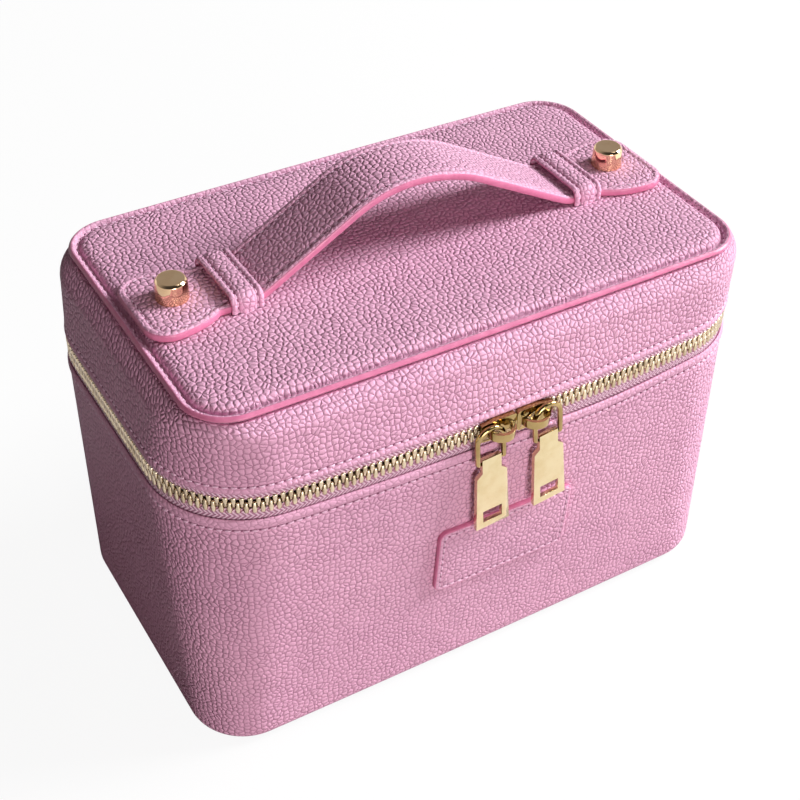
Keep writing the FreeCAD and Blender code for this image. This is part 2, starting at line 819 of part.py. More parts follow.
stud_holes = on_stud_axes(bar, barrel_diameter + 2 * barrel_clearance, top_lining_bottom - 1, strap_top + 1)
handle_strap = strap_slab(0, strap_top_layer).common(strap_plan()).cut(stud_holes)
handle_lining = strap_slab(strap_top_layer + glue_gap, strap_thickness).common(strap_plan()).cut(stud_holes)

# keepers: bands over the strap whose ends pass through slits in the lid top
keeper_inner = strap_half_width + keeper_side_gap
keeper_outer = keeper_inner + keeper_leather
keeper_ceiling = strap_top + keeper_headroom
keeper_bottom = lid_top_height - keeper_tail


def long_edges(block, z):
    """Edges of a block that run across the lid at a height."""
    return [e for e in block.Edges
            if abs(e.tangentAt(e.FirstParameter).x) > 0.9 and abs(e.BoundBox.ZMin - z) < glue_gap]


def keeper(side):
    middle = keeper_middle_x + side * keeper_x
    start, end = middle - keeper_width / 2, middle + keeper_width / 2
    top = keeper_ceiling + keeper_leather
    outer = box(start, end, -keeper_outer, keeper_outer, keeper_bottom, top)
    inner = box(start, end, -keeper_inner, keeper_inner, keeper_bottom, keeper_ceiling)
    outer = outer.makeFillet(keeper_corner, long_edges(outer, top))
    inner = inner.makeFillet(keeper_corner - keeper_leather, long_edges(inner, keeper_ceiling))
    return outer.cut(inner)


def slits(side):
    """Two slits in the lid top for the ends of a keeper."""
    middle = keeper_middle_x + side * keeper_x
    reach = keeper_width / 2 + slit_gap
    near, far = keeper_inner - slit_gap, keeper_outer + slit_gap
    bottom = keeper_bottom - slit_gap
    return [box(middle - reach, middle + reach, near, far, bottom, strap_top),
            box(middle - reach, middle + reach, -far, -near, bottom, strap_top)]


keeper_left = keeper(-1)
keeper_right = keeper(1)
lid_top_cover = lid_top_cover.cut(stud_holes + slits(-1) + slits(1))
lid_top_foam = lid_top_foam.cut(stud_holes + slits(-1) + slits(1))
lid_top_board = lid_top_board.cut(stud_holes)
lid_top_lining = lid_top_lining.cut(stud_holes)

# studs: a cap with a threaded barrel that reaches through the lid, and a wide screw from inside
barrel_end = top_lining_bottom + glue_gap
stud_top = strap_top + stud_height
screw_tip = strap_top
caps = on_stud_axes(rod, stud_diameter / 2, strap_top + glue_gap, stud_top)
barrels = on_stud_axes(bar, barrel_diameter, barrel_end, strap_top + 1)
bores = on_stud_axes(bar, screw_diameter + 2 * screw_clearance, barrel_end, screw_tip + screw_end_gap)
studs = []
for cap, barrel, bore in zip(caps, barrels, bores):
    top_edge = [e for e in cap.Edges if e.BoundBox.ZMin > stud_top - glue_gap]
    studs.append(cap.makeChamfer(stud_chamfer, top_edge).fuse(barrel).cut(bore))
handle_studs = Part.makeCompound(studs)
screw_head_top = top_lining_bottom - glue_gap
heads = on_stud_axes(rod, screw_head_diameter / 2, screw_head_top - screw_head_height, screw_head_top)
shanks = on_stud_axes(bar, screw_diameter, screw_head_top - screw_head_height / 2, screw_tip)
stud_screws = Part.makeCompound([head.fuse(shank) for head, shank in zip(heads, shanks)])

# ---------------------------------------------------------------- export
save("body_cover", body_cover)
save("body_board", body_board)
save("body_lining", body_lining)
save("base_panel", base_panel)
save("base_board", base_board)
save("base_lining", base_lining)
save("front_patch", front_patch)
save("zip_tape_lower", zip_tape_lower)
save("zip_teeth_lower", zip_teeth_lower)
save("zip_end_stops", zip_end_stops)
save("hinge_strip", hinge_strip)
save("hinge_lining", hinge_lining)
save("lid_side_cover", lid_side_cover)
save("lid_side_board", lid_side_board)
save("lid_side_lining", lid_side_lining)
save("lid_top_cover", lid_top_cover)
save("lid_top_foam", lid_top_foam)
save("lid_top_board", lid_top_board)
save("lid_top_lining", lid_top_lining)
save("zip_tape_upper", zip_tape_upper)
save("zip_teeth_upper", zip_teeth_upper)
save("handle_strap", handle_strap)
save("handle_lining", handle_lining)
save("keeper_left", keeper_left)
save("keeper_right", keeper_right)
save("handle_studs", handle_studs)
save("stud_screws", stud_screws)
save("slider_left", slider_left)
save("slider_right", slider_right)
save("bail_left", bail_left)
save("bail_right", bail_right)
save("pull_left", pull_left)
save("pull_right", pull_right)
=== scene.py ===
import bmesh
import bpy
import numpy as np
from mathutils import Matrix


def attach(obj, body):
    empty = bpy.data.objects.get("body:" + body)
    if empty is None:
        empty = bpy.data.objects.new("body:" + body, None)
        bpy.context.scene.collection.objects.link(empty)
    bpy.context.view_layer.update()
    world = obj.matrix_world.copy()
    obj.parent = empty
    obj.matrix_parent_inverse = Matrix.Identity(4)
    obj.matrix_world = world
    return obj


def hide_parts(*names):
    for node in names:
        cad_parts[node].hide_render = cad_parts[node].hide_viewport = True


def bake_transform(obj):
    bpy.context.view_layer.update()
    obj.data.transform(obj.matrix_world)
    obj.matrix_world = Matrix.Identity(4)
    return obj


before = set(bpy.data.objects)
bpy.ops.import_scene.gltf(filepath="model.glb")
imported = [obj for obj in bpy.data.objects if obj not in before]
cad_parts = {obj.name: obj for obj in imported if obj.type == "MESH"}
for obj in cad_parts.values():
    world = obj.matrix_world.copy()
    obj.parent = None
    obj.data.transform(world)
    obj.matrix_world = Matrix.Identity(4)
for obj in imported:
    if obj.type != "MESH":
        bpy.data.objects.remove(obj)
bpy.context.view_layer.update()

# Zipped train case in pebbled leather with a padded lid, drawn in millimetres and
# stored in metres.  X runs across the width, the zip sliders face -Y, Z is up.

# ---------------------------------------------------------------- camera and studio
# The case stands on a white sweep under three soft lamps: a strong one at the right, one in front and a weak
# one high up.
# The world gives a little even light, and shows white behind the case.
scene = bpy.context.scene
scene.view_settings.view_transform = "Standard"

# bearing, height and tilt of the camera, the point it aims at, and how far off it stands, in metres
azimuth, elevation, roll = np.radians([-31.265, 39.96, 1.413])
target = np.array([-0.00296, -0.00457, 0.07759])
distance = 0.52826
back = np.array([
    np.sin(azimuth) * np.cos(elevation),
    -np.cos(azimuth) * np.cos(elevation),
    np.sin(elevation),
])
level = np.cross([0, 0, 1], back)
level /= np.linalg.norm(level)
upright = np.cross(back, level)
pose = np.eye(4)
pose[:3, 0] = np.cos(roll) * level + np.sin(roll) * upright
pose[:3, 1] = np.cos(roll) * upright - np.sin(roll) * level
pose[:3, 2] = back
pose[:3, 3] = target + distance * back
camera = bpy.data.objects.new("camera", bpy.data.cameras.new("camera"))
camera.data.sensor_width = 36
camera.data.lens = 65.57
camera.data.clip_start = 0.01
camera.matrix_world = Matrix(pose.tolist())
scene.collection.objects.link(camera)
scene.camera = camera


def add(tree, kind, inputs=None, **settings):
    """Add a shader node with its settings; each input is a value, or a socket to link from."""
    made = tree.nodes.new("ShaderNode" + kind)
    for name, value in settings.items():
        setattr(made, name, value)
    for key, value in (inputs or {}).items():
        if isinstance(value, bpy.types.NodeSocket):
            tree.links.new(value, made.inputs[key])
        else:
            made.inputs[key].default_value = value
    return made


def lamp(name, place, aim, size, watts, colour=(1, 1, 1)):
    """Square soft lamp at a place in metres, turned towards a point."""
    data = bpy.data.lights.new(name, "AREA")
    data.size = size
    data.energy = watts
    data.color = colour
    made = bpy.data.objects.new(name, data)
    away = np.subtract(place, aim)
    away = away / np.linalg.norm(away)
    across = np.cross([0, 0, 1], away)
    across /= np.linalg.norm(across)
    turn = np.eye(4)
    turn[:3, :3] = np.stack([across, np.cross(away, across), away], axis=1)
    turn[:3, 3] = place
    made.matrix_world = Matrix(turn.tolist())
    scene.collection.objects.link(made)


# bearing from the front towards the right, elevation, watts and colour of each lamp; all are
# 0.9 m wide, stand 2.4 m off and aim at the middle of the case
lamp_distance, lamp_width, case_middle = 2.4, 0.9, (0, 0, 0.08)
for name, bearing, rise, watts, colour in (
    ("right_lamp", 77, 35, 78, (0.97, 1.0, 1.0)),
    ("high_lamp", 56, 62, 6, (1.0, 1.0, 1.0)),
    ("front_lamp", -5, 12, 38, (1.0, 0.92, 0.9)),
):
    bearing, rise = np.radians([bearing, rise])
    away = np.array([np.sin(bearing) * np.cos(rise), -np.cos(bearing) * np.cos(rise), np.sin(rise)])
    lamp(name, lamp_distance * away, case_middle, lamp_width, watts, colour)


def background_rays(tree):
    """One for rays from the camera and for those that a shiny or clear surface sends on."""
    ray = add(tree, "LightPath")
    result = ray.outputs["Is Camera Ray"]
    for kind in ("Is Glossy Ray", "Is Transmission Ray"):
        result = add(tree, "Math", {0: result, 1: ray.outputs[kind]}, operation="MAXIMUM").outputs[0]
    return result


# settings that many nodes share: an S-shaped curve from one range to another, and a mix of colours
curve, colours = {"interpolation_type": "SMOOTHSTEP"}, {"data_type": "RGBA"}

# white at and below the level of the eye; higher up the metal mirrors a dim room, darkest in front
world = bpy.data.worlds.new("studio")
scene.world = world
world.use_nodes = True
tree = world.node_tree
tree.nodes.clear()
axes = add(tree, "SeparateXYZ", {0: add(tree, "TexCoord").outputs["Generated"]})
room = add(tree, "MapRange", {0: axes.outputs[1], 1: -0.4, 2: 0.5, 3: 0.05, 4: 0.36}, **curve).outputs[0]
strength = add(tree, "MapRange", {0: axes.outputs[2], 1: 0.18, 2: 0.4, 3: 1.0, 4: room}, **curve).outputs[0]
dim = add(tree, "Background", {"Color": (1.0, 0.6, 0.6, 1), "Strength": 0.06})
white = add(tree, "Background", {"Color": (1, 1, 1, 1), "Strength": strength})
both = add(tree, "MixShader", {0: background_rays(tree), 1: dim.outputs[0], 2: white.outputs[0]})
add(tree, "OutputWorld", {0: both.outputs[0]})


def new_material(name):
    """Empty material; returns it with its node tree and its shader."""
    material = bpy.data.materials.new(name)
    material.use_nodes = True
    tree = material.node_tree
    tree.nodes.clear()
    shader = add(tree, "BsdfPrincipled")
    add(tree, "OutputMaterial", {0: shader.outputs[0]})
    return material, tree, shader


def linear(code):
    """Linear colour of an sRGB hex code."""
    parts = np.array([int(code[k:k + 2], 16) for k in (0, 2, 4)]) / 255
    parts = np.where(parts <= 0.04045, parts / 12.92, ((parts + 0.055) / 1.055) ** 2.4)
    return (*parts, 1.0)


# matt paper: white to the eye, but only a little of its light reaches the case, and its fibres,
# a millimetre apart, barely show
paper, tree, shader = new_material("sweep_paper")
fibre = add(tree, "TexNoise", {"Vector": add(tree, "TexCoord").outputs["Object"], "Scale": 900, "Detail": 3})
shade = add(tree, "MapRange", {0: fibre.outputs["Fac"], 1: 0.3, 2: 0.7, 4: 0.02}, **curve).outputs[0]
pale = add(tree, "Mix", {0: shade, 6: linear("fdfdfd"), 7: linear("f2f2f4")}, **colours).outputs[2]
lit = add(tree, "Mix", {0: background_rays(tree), 6: linear("7a7273"), 7: pale}, **colours).outputs[2]
tree.links.new(lit, shader.inputs["Base Color"])
shader.inputs["Roughness"].default_value = 0.95
white = add(tree, "Emission", {"Color": (1, 1, 1, 1), "Strength": 1.0})
own_white = 0.92
camera_ray = add(tree, "LightPath").outputs["Is Camera Ray"]
part = add(tree, "Math", {0: camera_ray, 1: own_white}, operation="MULTIPLY")
both = add(tree, "MixShader", {0: part.outputs[0], 1: shader.outputs[0], 2: white.outputs[0]})
result = next(node for node in tree.nodes if node.bl_idname == "ShaderNodeOutputMaterial")
tree.links.new(both.outputs[0], result.inputs[0])
reach = 3
floor_mesh = bpy.data.meshes.new("floor")
floor_mesh.from_pydata([(-reach, -reach, 0), (reach, -reach, 0), (reach, reach, 0), (-reach, reach, 0)], [],
                       [(0, 1, 2, 3)])
floor_mesh.materials.append(paper)
floor = bpy.data.objects.new("floor", floor_mesh)
scene.collection.objects.link(floor)


# ---------------------------------------------------------------- body leather
# One wrap of pebbled calf round the body, moulded over the bottom edge and glued down.
# Its top edge is folded over and sewn to the tape of the zip.
# plan outlines of the wall (width, depth, corner radius, bow of front and back) and their heights
FOOT = np.array([214.4, 124.6, 21.0, 0.4])
ZIP = np.array([220.0, 136.0, 35.3, 3.1])
SHOULDER = np.array([215.0, 128.0, 29.0, 0.4])
foot_z, zip_z, shoulder_z = 6.05, 113.8, 136.6
leather_thick = 1.0


def plan(outlines, steps=(10, 18, 26)):
    """Closed plan outlines, one row of points for each row of (width, depth, corner radius, bow).

    A quarter is half of a straight side, a corner arc and half of a bowed back, each cut into
    equal shares.  It is mirrored for the rest, and starts at the middle of the front.
    """
    width, depth, corner, bow = np.moveaxis(np.asarray(outlines, float), -1, 0)[..., None]
    half_chord = width / 2 - corner
    bow_radius = (half_chord**2 + bow**2) / (2 * bow)
    bow_y = depth / 2 - bow_radius
    rise = np.sqrt((bow_radius - corner) ** 2 - half_chord**2)
    bearing = np.arctan2(rise, half_chord)
    corner_y = bow_y + rise
    side, turn, arc = (np.arange(count) / count for count in steps)
    arc = np.append(arc, 1.0)
    angle = bearing + (np.pi / 2 - bearing) * arc
    x = np.concatenate([
        width / 2 + 0 * side,
        half_chord + corner * np.cos(bearing * turn),
        bow_radius * np.cos(angle),
    ], axis=1)
    y = np.concatenate([
        corner_y * side,
        corner_y + corner * np.sin(bearing * turn),
        bow_y + bow_radius * np.sin(angle),
    ], axis=1)
    x = np.concatenate([x[:, :0:-1], x], axis=1)
    y = np.concatenate([-y[:, :0:-1], y], axis=1)
    x = np.concatenate([x, -x[:, -2:0:-1]], axis=1)
    y = np.concatenate([y, y[:, -2:0:-1]], axis=1)
    return np.stack([x, y], axis=-1)


def inset(outline, gap):
    """The outline drawn smaller by each gap all round."""
    return outline - np.multiply.outer(gap, [2, 2, 1, 0])


def at_height(flat, z):
    """Rings of flat outlines, each set at its own height."""
    z = np.broadcast_to(np.asarray(z, float)[:, None, None], flat.shape[:2] + (1,))
    return np.concatenate([flat, z], axis=-1)


def wall(z, gap=0.0):
    """Rings round the upright wall at each height, each so far inside the face of the leather.

    Heights below the zip lie between the outlines at the foot and at the zip, the others between
    the outlines at the zip and at the shoulder, in proportion to the height.
    """
    z, gap = np.broadcast_arrays(np.asarray(z, float), np.asarray(gap, float))
    lower = (z < zip_z)[:, None]
    low = np.where(lower, inset(FOOT, gap), inset(ZIP, gap))
    high = np.where(lower, inset(ZIP, gap), inset(SHOULDER, gap))
    share = np.where(z < zip_z, (z - foot_z) / (zip_z - foot_z), (z - zip_z) / (shoulder_z - zip_z))
    return at_height(plan(low) * (1 - share)[:, None, None] + plan(high) * share[:, None, None], z)


bottom_radius = 5.0


def bottom_round(radius, degrees):
    """Rings round the bottom edge: a quarter round about a line 5 mm inside the foot outline."""
    angle = np.radians(degrees)
    gap = bottom_radius - radius * np.cos(angle)
    return at_height(plan(inset(FOOT, gap)), foot_z - radius * np.sin(angle))


def grid(rows, columns, close_rows=False, close_columns=True):
    """Corner numbers of the quads between neighbouring rows and columns of points."""
    r = np.arange(rows if close_rows else rows - 1)[:, None]
    c = np.arange(columns if close_columns else columns - 1)[None, :]
    next_r, next_c = (r + 1) % rows * columns, (c + 1) % columns
    corners = np.broadcast_arrays(r * columns + c, r * columns + next_c, next_r + next_c, next_r + c)
    return np.stack(corners, axis=-1).reshape(-1, 4)


def quad_corners(places):
    """The four corners' values of each quad between neighbouring rows and columns of a grid."""
    return np.stack([places[:-1, :-1], places[:-1, 1:], places[1:, 1:], places[1:, :-1]], axis=2)


def make(name, points, faces, material, uv=None, weld=False, press_and_shade=None):
    """Smooth closed mesh from points in millimetres and quads, its faces turned outwards.

    Press_and_shade holds one value for each row of points: how far its grain is pressed flat,
    and from 1 to 2 how much painted shade darkens it.
    """
    points = np.asarray(points, float).reshape(-1, 3)
    a, b, c, d = (points[faces[:, k]] for k in range(4))
    volume = np.einsum("ij,ij->", a, np.cross(b, c)) + np.einsum("ij,ij->", a, np.cross(c, d))
    if volume < 0:
        faces = faces[:, ::-1]
        uv = None if uv is None else uv[:, ::-1]
    mesh = bpy.data.meshes.new(name)
    mesh.from_pydata((points / 1000).tolist(), [], faces.tolist())
    if uv is not None:
        mesh.uv_layers.new(name="UVMap").data.foreach_set("uv", (uv / 1000).ravel().astype(np.float32))
    if press_and_shade is not None:
        values = np.repeat(np.asarray(press_and_shade, float), len(points) // len(press_and_shade)).astype(np.float32)
        mesh.attributes.new("press_and_shade", "FLOAT", "POINT").data.foreach_set("value", values)
    if weld:
        work = bmesh.new()
        work.from_mesh(mesh)
        bmesh.ops.remove_doubles(work, verts=work.verts, dist=1e-6)
        work.to_mesh(mesh)
        work.free()
    mesh.polygons.foreach_set("use_smooth", [True] * len(mesh.polygons))
    mesh.materials.append(material)
    made = bpy.data.objects.new(name, mesh)
    scene.collection.objects.link(made)
    return made


def swept(name, rings, material, uv=None, press_and_shade=None):
    """Closed piece from rings of points, the last one joined to the first."""
    return make(name, rings, grid(rings.shape[0], rings.shape[1], close_rows=True), material, uv, press_and_shade=press_and_shade)


def wrapped(rings):
    """Texture places of a hide wrapped round closed rings, its two ends meeting behind the hinge.

    Across is the length round each ring from the middle of the front, and up is the length over
    the rings at each column, so the grain keeps its size.
    """
    rings = np.concatenate([rings, rings[:1]])
    rings = np.concatenate([rings, rings[:, :1]], axis=1)
    half = rings.shape[1] // 2
    across = np.cumsum(np.linalg.norm(np.diff(rings, axis=1, prepend=rings[:, :1]), axis=2), axis=1)
    up = np.cumsum(np.linalg.norm(np.diff(rings, axis=0, prepend=rings[:1]), axis=2), axis=0)
    places = quad_corners(np.stack([across, up], axis=-1))
    total = np.stack([across[:-1, -1], across[:-1, -1], across[1:, -1], across[1:, -1]], axis=-1)
    places[:, half:, :, 0] -= total[:, None]
    return places.reshape(-1, 4, 2)


def pebbled(name, face, crease_shade, groove, cell=1.95, relief=0.32, gloss=0.5):
    """Pebbled full-grain leather: calf, embossed, dyed through and finished half matt.

    Each pebble is a dome: its height falls with the square of the distance from its middle, and
    drops once more in the narrow valley beside its neighbour.  Slow noise makes the hide deeper
    in some places than in others.  The dye varies over the hide, and the valleys are darkened
    with painted shade.  Where the hide is pressed, by an amount from 0 to 1 stored on the mesh,
    the pebbles are flat; from 1 to 2 painted shade darkens the surface towards the bottom of a
    seam's groove.  Pebbles are 1.95 mm apart and 0.32 mm deep.
    """
    material, tree, shader = new_material(name)
    place = add(tree, "TexCoord").outputs["UV"]
    # the rows of pebbles wander by 1 mm over 3 mm, and by 0.4 mm over 0.9 mm
    for scale, reach in ((330, 0.0010), (1100, 0.0004)):
        wander = add(tree, "TexNoise", {"Vector": place, "Scale": scale, "Detail": 1}).outputs["Color"]
        shift = add(tree, "VectorMath", {0: wander, 1: (0.5, 0.5, 0.5)}, operation="SUBTRACT").outputs[0]
        shift = add(tree, "VectorMath", {0: shift, "Scale": reach}, operation="SCALE").outputs[0]
        place = add(tree, "VectorMath", {0: place, 1: shift}, operation="ADD").outputs[0]
    cells = {"Vector": place, "Scale": 1000 / cell, "Randomness": 0.8}
    edge = add(tree, "TexVoronoi", cells, voronoi_dimensions="2D", feature="DISTANCE_TO_EDGE")
    edge = edge.outputs["Distance"]
    dome = add(tree, "TexVoronoi", cells, voronoi_dimensions="2D", feature="F1").outputs["Distance"]
    valley = add(tree, "MapRange", {0: edge, 1: -0.06, 2: 0.36}, **curve).outputs[0]
    dome = add(tree, "Math", {0: dome, 1: 2.0}, operation="POWER").outputs[0]
    high = add(tree, "Math", {0: dome, 1: -1.0, 2: valley}, operation="MULTIPLY_ADD").outputs[0]
    # fine wrinkles half a millimetre apart on the pebbles, and a depth that changes over 8 mm
    wrinkle = add(tree, "TexNoise", {"Vector": place, "Scale": 2100, "Detail": 3}).outputs["Fac"]
    high = add(tree, "Math", {0: wrinkle, 1: 0.1, 2: high}, operation="MULTIPLY_ADD").outputs[0]
    deep = add(tree, "TexNoise", {"Vector": place, "Scale": 120, "Detail": 1}).outputs["Fac"]
    deep = add(tree, "MapRange", {0: deep, 1: 0.3, 2: 0.65, 3: 0.75, 4: 1.0}, **curve).outputs[0]
    press_and_shade = add(tree, "Attribute", attribute_name="press_and_shade").outputs["Fac"]
    flat = add(tree, "MapRange", {0: press_and_shade, 1: 0, 2: 1, 3: 1.0, 4: 0.55}, **curve).outputs[0]
    full = add(tree, "Math", {0: deep, 1: flat}, operation="MULTIPLY").outputs[0]
    high = add(tree, "Math", {0: high, 1: full}, operation="MULTIPLY").outputs[0]
    bump = add(tree, "Bump", {"Height": high, "Distance": relief / 1000, "Strength": 1.0})
    tree.links.new(bump.outputs[0], shader.inputs["Normal"])
    # the dye in clouds 45 mm wide; then painted shade, darker in a crease a quarter of a millimetre wide and
    # in the groove
    hide = add(tree, "TexNoise", {"Vector": place, "Scale": 22, "Detail": 3}).outputs["Fac"]
    hide = add(tree, "MapRange", {0: hide, 1: 0.3, 2: 0.7}, **curve).outputs[0]
    tone = add(tree, "Mix", {0: hide, 6: linear(face[0]), 7: linear(face[1])}, **colours).outputs[2]
    # painted shade: the creases between the pebbles are darker where the grain is full
    depth = add(tree, "MapRange", {0: edge, 1: 0.0, 2: 0.13, 3: 0.78, 4: 0.0}, **curve).outputs[0]
    depth = add(tree, "Math", {0: depth, 1: full}, operation="MULTIPLY").outputs[0]
    tone = add(tree, "Mix", {0: depth, 6: tone, 7: linear(crease_shade)}, **colours).outputs[2]
    # painted shade: the surface darkens towards the bottom of a seam's groove where the stored value runs
    # from 1 to 2
    groove_shade = add(tree, "MapRange", {0: press_and_shade, 1: 1.0, 2: 2.0, 3: 0.0, 4: 0.8}, **curve).outputs[0]
    tone = add(tree, "Mix", {0: groove_shade, 6: tone, 7: linear(groove)}, **colours).outputs[2]
    tree.links.new(tone, shader.inputs["Base Color"])
    rough = add(tree, "MapRange", {0: edge, 1: 0.0, 2: 0.15, 3: 0.60, 4: gloss}, **curve).outputs[0]
    tree.links.new(rough, shader.inputs["Roughness"])
    shader.inputs["Specular IOR Level"].default_value = 0.15
    return material


# the third colour is painted shade in the creases, the fourth is painted shade in the seams' grooves
leather = pebbled("pebbled_leather", ("e8b2ce", "e2acc9"), "a46a88", "8a4564")

# outside of the fold and its stitch groove: height, distance in from the face, and press
# a press above 1 is painted shade, darkest in the groove and along the top edge under the tape
fold = np.array([
    (100.8, 0.0, 0.0), (101.6, 0.04, 0.3), (102.1, 0.22, 1.0), (102.5, 0.46, 1.8), (102.8, 0.5, 2.0),
    (103.1, 0.36, 1.6), (103.5, 0.02, 1.0), (104.1, -0.3, 1.0), (104.9, -0.45, 0.9), (105.7, -0.48, 0.9),
    (106.4, -0.4, 1.0), (106.9, -0.2, 1.0), (107.25, 0.1, 1.2), (107.4, 0.45, 2.0), (107.1, 0.75, 2.0),
    (106.2, 1.0, 2.0),
])


def relaxed(rings):
    """Rings near the fold, let down a little along the right half of the front.

    The drop is a bell of 1.5 mm about x = 42 mm, and fades out below the stitches.
    """
    x, y, z = np.moveaxis(rings, -1, 0)
    share = np.clip((z - 97.0) / 5.0, 0, 1) * (y < 0)
    return np.stack([x, y, z - 1.5 * share * np.exp(-(((x - 42) / 28) ** 2))], axis=-1)


round_degrees = np.linspace(90, 8, 9)
wall_rise = np.linspace(foot_z, 99.5, 30)
# outside from the turned-under edge up to the fold, then the inside down again
body_outside = [bottom_round(bottom_radius, round_degrees), wall(wall_rise)]
body_inside = [
    wall([98.0, 60.0, foot_z], leather_thick),
    bottom_round(bottom_radius - leather_thick, np.linspace(15, 90, 5)),
    at_height(plan(inset(FOOT, [14.0, 14.0])), [2.05, 1.05]),
]
body_rings = np.concatenate([*body_outside, relaxed(wall(fold[:, 0], fold[:, 1])), *body_inside])
body_press_and_shade = np.concatenate([
    np.zeros(sum(map(len, body_outside))),
    fold[:, 2],
    np.ones(sum(map(len, body_inside))),
])
body_cover = swept("body_leather", body_rings, leather, wrapped(body_rings), body_press_and_shade)
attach(body_cover, "case")
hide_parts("body_cover")


# ---------------------------------------------------------------- base
# A stiff panel of smooth leather, glued on, covers the turned-under edges below the case.
# smooth leather, plated flat and half matt: only fine creases, 0.7 mm apart, catch the light
smooth_leather, tree, shader = new_material("smooth_leather")
place = add(tree, "TexCoord").outputs["Object"]
grain = add(tree, "TexVoronoi", {"Vector": place, "Scale": 1500}, feature="DISTANCE_TO_EDGE")
grain = add(tree, "MapRange", {0: grain.outputs["Distance"], 1: 0.0, 2: 0.3}, **curve).outputs[0]
bump = add(tree, "Bump", {"Height": grain, "Distance": 0.00008, "Strength": 1.0})
tree.links.new(bump.outputs[0], shader.inputs["Normal"])
hide = add(tree, "TexNoise", {"Vector": place, "Scale": 40, "Detail": 4}).outputs["Fac"]
hide = add(tree, "MapRange", {0: hide, 1: 0.3, 2: 0.7}, **curve).outputs[0]
dye = add(tree, "Mix", {0: hide, 6: linear("cf94b2"), 7: linear("c78ba9")}, **colours).outputs[2]
tree.links.new(dye, shader.inputs["Base Color"])
shader.inputs["Roughness"].default_value = 0.5


def line_fill(ring, count):
    """Rings that shrink in equal shares from a closed ring to a line along its middle."""
    reach = np.abs(ring[:, 1]).max()
    low, high = ring[:, 0].min() + reach, ring[:, 0].max() - reach
    line = np.stack([np.clip(ring[:, 0], low, high), 0 * ring[:, 1], ring[:, 2]], axis=-1)
    share = (np.arange(1, count + 1) / count)[:, None, None]
    return ring * (1 - share) + line * share


def sheet_in(name, outline, edge, material):
    """Flat sheet inside a plan outline, from (distance in, height) round its edge, both faces closed."""
    gaps, heights = np.array(edge).T
    rings = at_height(plan(inset(outline, gaps)), heights)
    rings = np.concatenate([line_fill(rings[0], 3)[::-1], rings, line_fill(rings[-1], 3)])
    return make(name, rings, grid(*rings.shape[:2]), material, weld=True)


panel_edge = [(9.0, 1.0), (8.4, 1.0), (8.0, 0.85), (8.0, 0.3), (8.1, 0.1), (8.5, 0.02), (9.0, 0.0)]
base_panel = sheet_in("base_panel_leather", FOOT, panel_edge, smooth_leather)
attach(base_panel, "case")
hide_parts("base_panel")


# ---------------------------------------------------------------- lining cloth and boards
# Grey board stiffens the walls, the base and the lid.  It is lined with a pale woven cloth,
# which is turned over the top edge of the body's board.
# grey board, pressed from waste paper: quite matt, with fibres half a millimetre apart
grey_board, tree, shader = new_material("grey_board")
place = add(tree, "TexCoord").outputs["Object"]
fibre = add(tree, "TexNoise", {"Vector": place, "Scale": 1800, "Detail": 5}).outputs["Fac"]
pulp = add(tree, "MapRange", {0: fibre, 1: 0.3, 2: 0.7}, **curve).outputs[0]
pulp = add(tree, "Mix", {0: pulp, 6: linear("a39c92"), 7: linear("8b847a")}, **colours).outputs[2]
tree.links.new(pulp, shader.inputs["Base Color"])
bump = add(tree, "Bump", {"Height": fibre, "Distance": 0.0001, "Strength": 1.0})
tree.links.new(bump.outputs[0], shader.inputs["Normal"])
shader.inputs["Roughness"].default_value = 0.9
for node in ("body_board", "base_board", "lid_side_board", "lid_top_board"):
    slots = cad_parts[node].data.materials
    if len(slots) == 0:
        slots.append(grey_board)
    for k in range(len(slots)):
        slots[k] = grey_board


def woven(name, warp, weft, pitch=0.5):
    """Plain woven cotton: threads over and under each other, both ways across the surface.

    The threads are sine waves along the three axes, each pair multiplied and the products added,
    so the cloth needs no texture places.  Matt, with a little sheen from its nap.  The threads
    are half a millimetre apart, coarser than real ones, so that they show.
    """
    material, tree, shader = new_material(name)
    place = add(tree, "TexCoord").outputs["Object"]
    turn = np.pi / pitch * 1000
    axes = add(tree, "SeparateXYZ", {0: place})
    waves = []
    for k in range(3):
        angle = add(tree, "Math", {0: axes.outputs[k], 1: turn}, operation="MULTIPLY")
        waves.append(add(tree, "Math", {0: angle.outputs[0]}, operation="SINE").outputs[0])
    total = 0.0
    for a, b in ((0, 1), (1, 2), (0, 2)):
        total = add(tree, "Math", {0: waves[a], 1: waves[b], 2: total}, operation="MULTIPLY_ADD").outputs[0]
    over = add(tree, "MapRange", {0: total, 1: -0.6, 2: 0.6}, **curve).outputs[0]
    slub = add(tree, "TexNoise", {"Vector": place, "Scale": 300, "Detail": 3}).outputs["Fac"]
    height = add(tree, "Math", {0: slub, 1: 0.4, 2: over}, operation="MULTIPLY_ADD").outputs[0]
    bump = add(tree, "Bump", {"Height": height, "Distance": 0.00009, "Strength": 1.0})
    tree.links.new(bump.outputs[0], shader.inputs["Normal"])
    yarn = add(tree, "Mix", {0: over, 6: linear(warp), 7: linear(weft)}, **colours).outputs[2]
    tree.links.new(yarn, shader.inputs["Base Color"])
    shader.inputs["Roughness"].default_value = 0.75
    shader.inputs["Sheen Weight"].default_value = 0.25
    return material


lining_cloth = woven("lining_cloth", "d9b4c4", "e6c8d4")
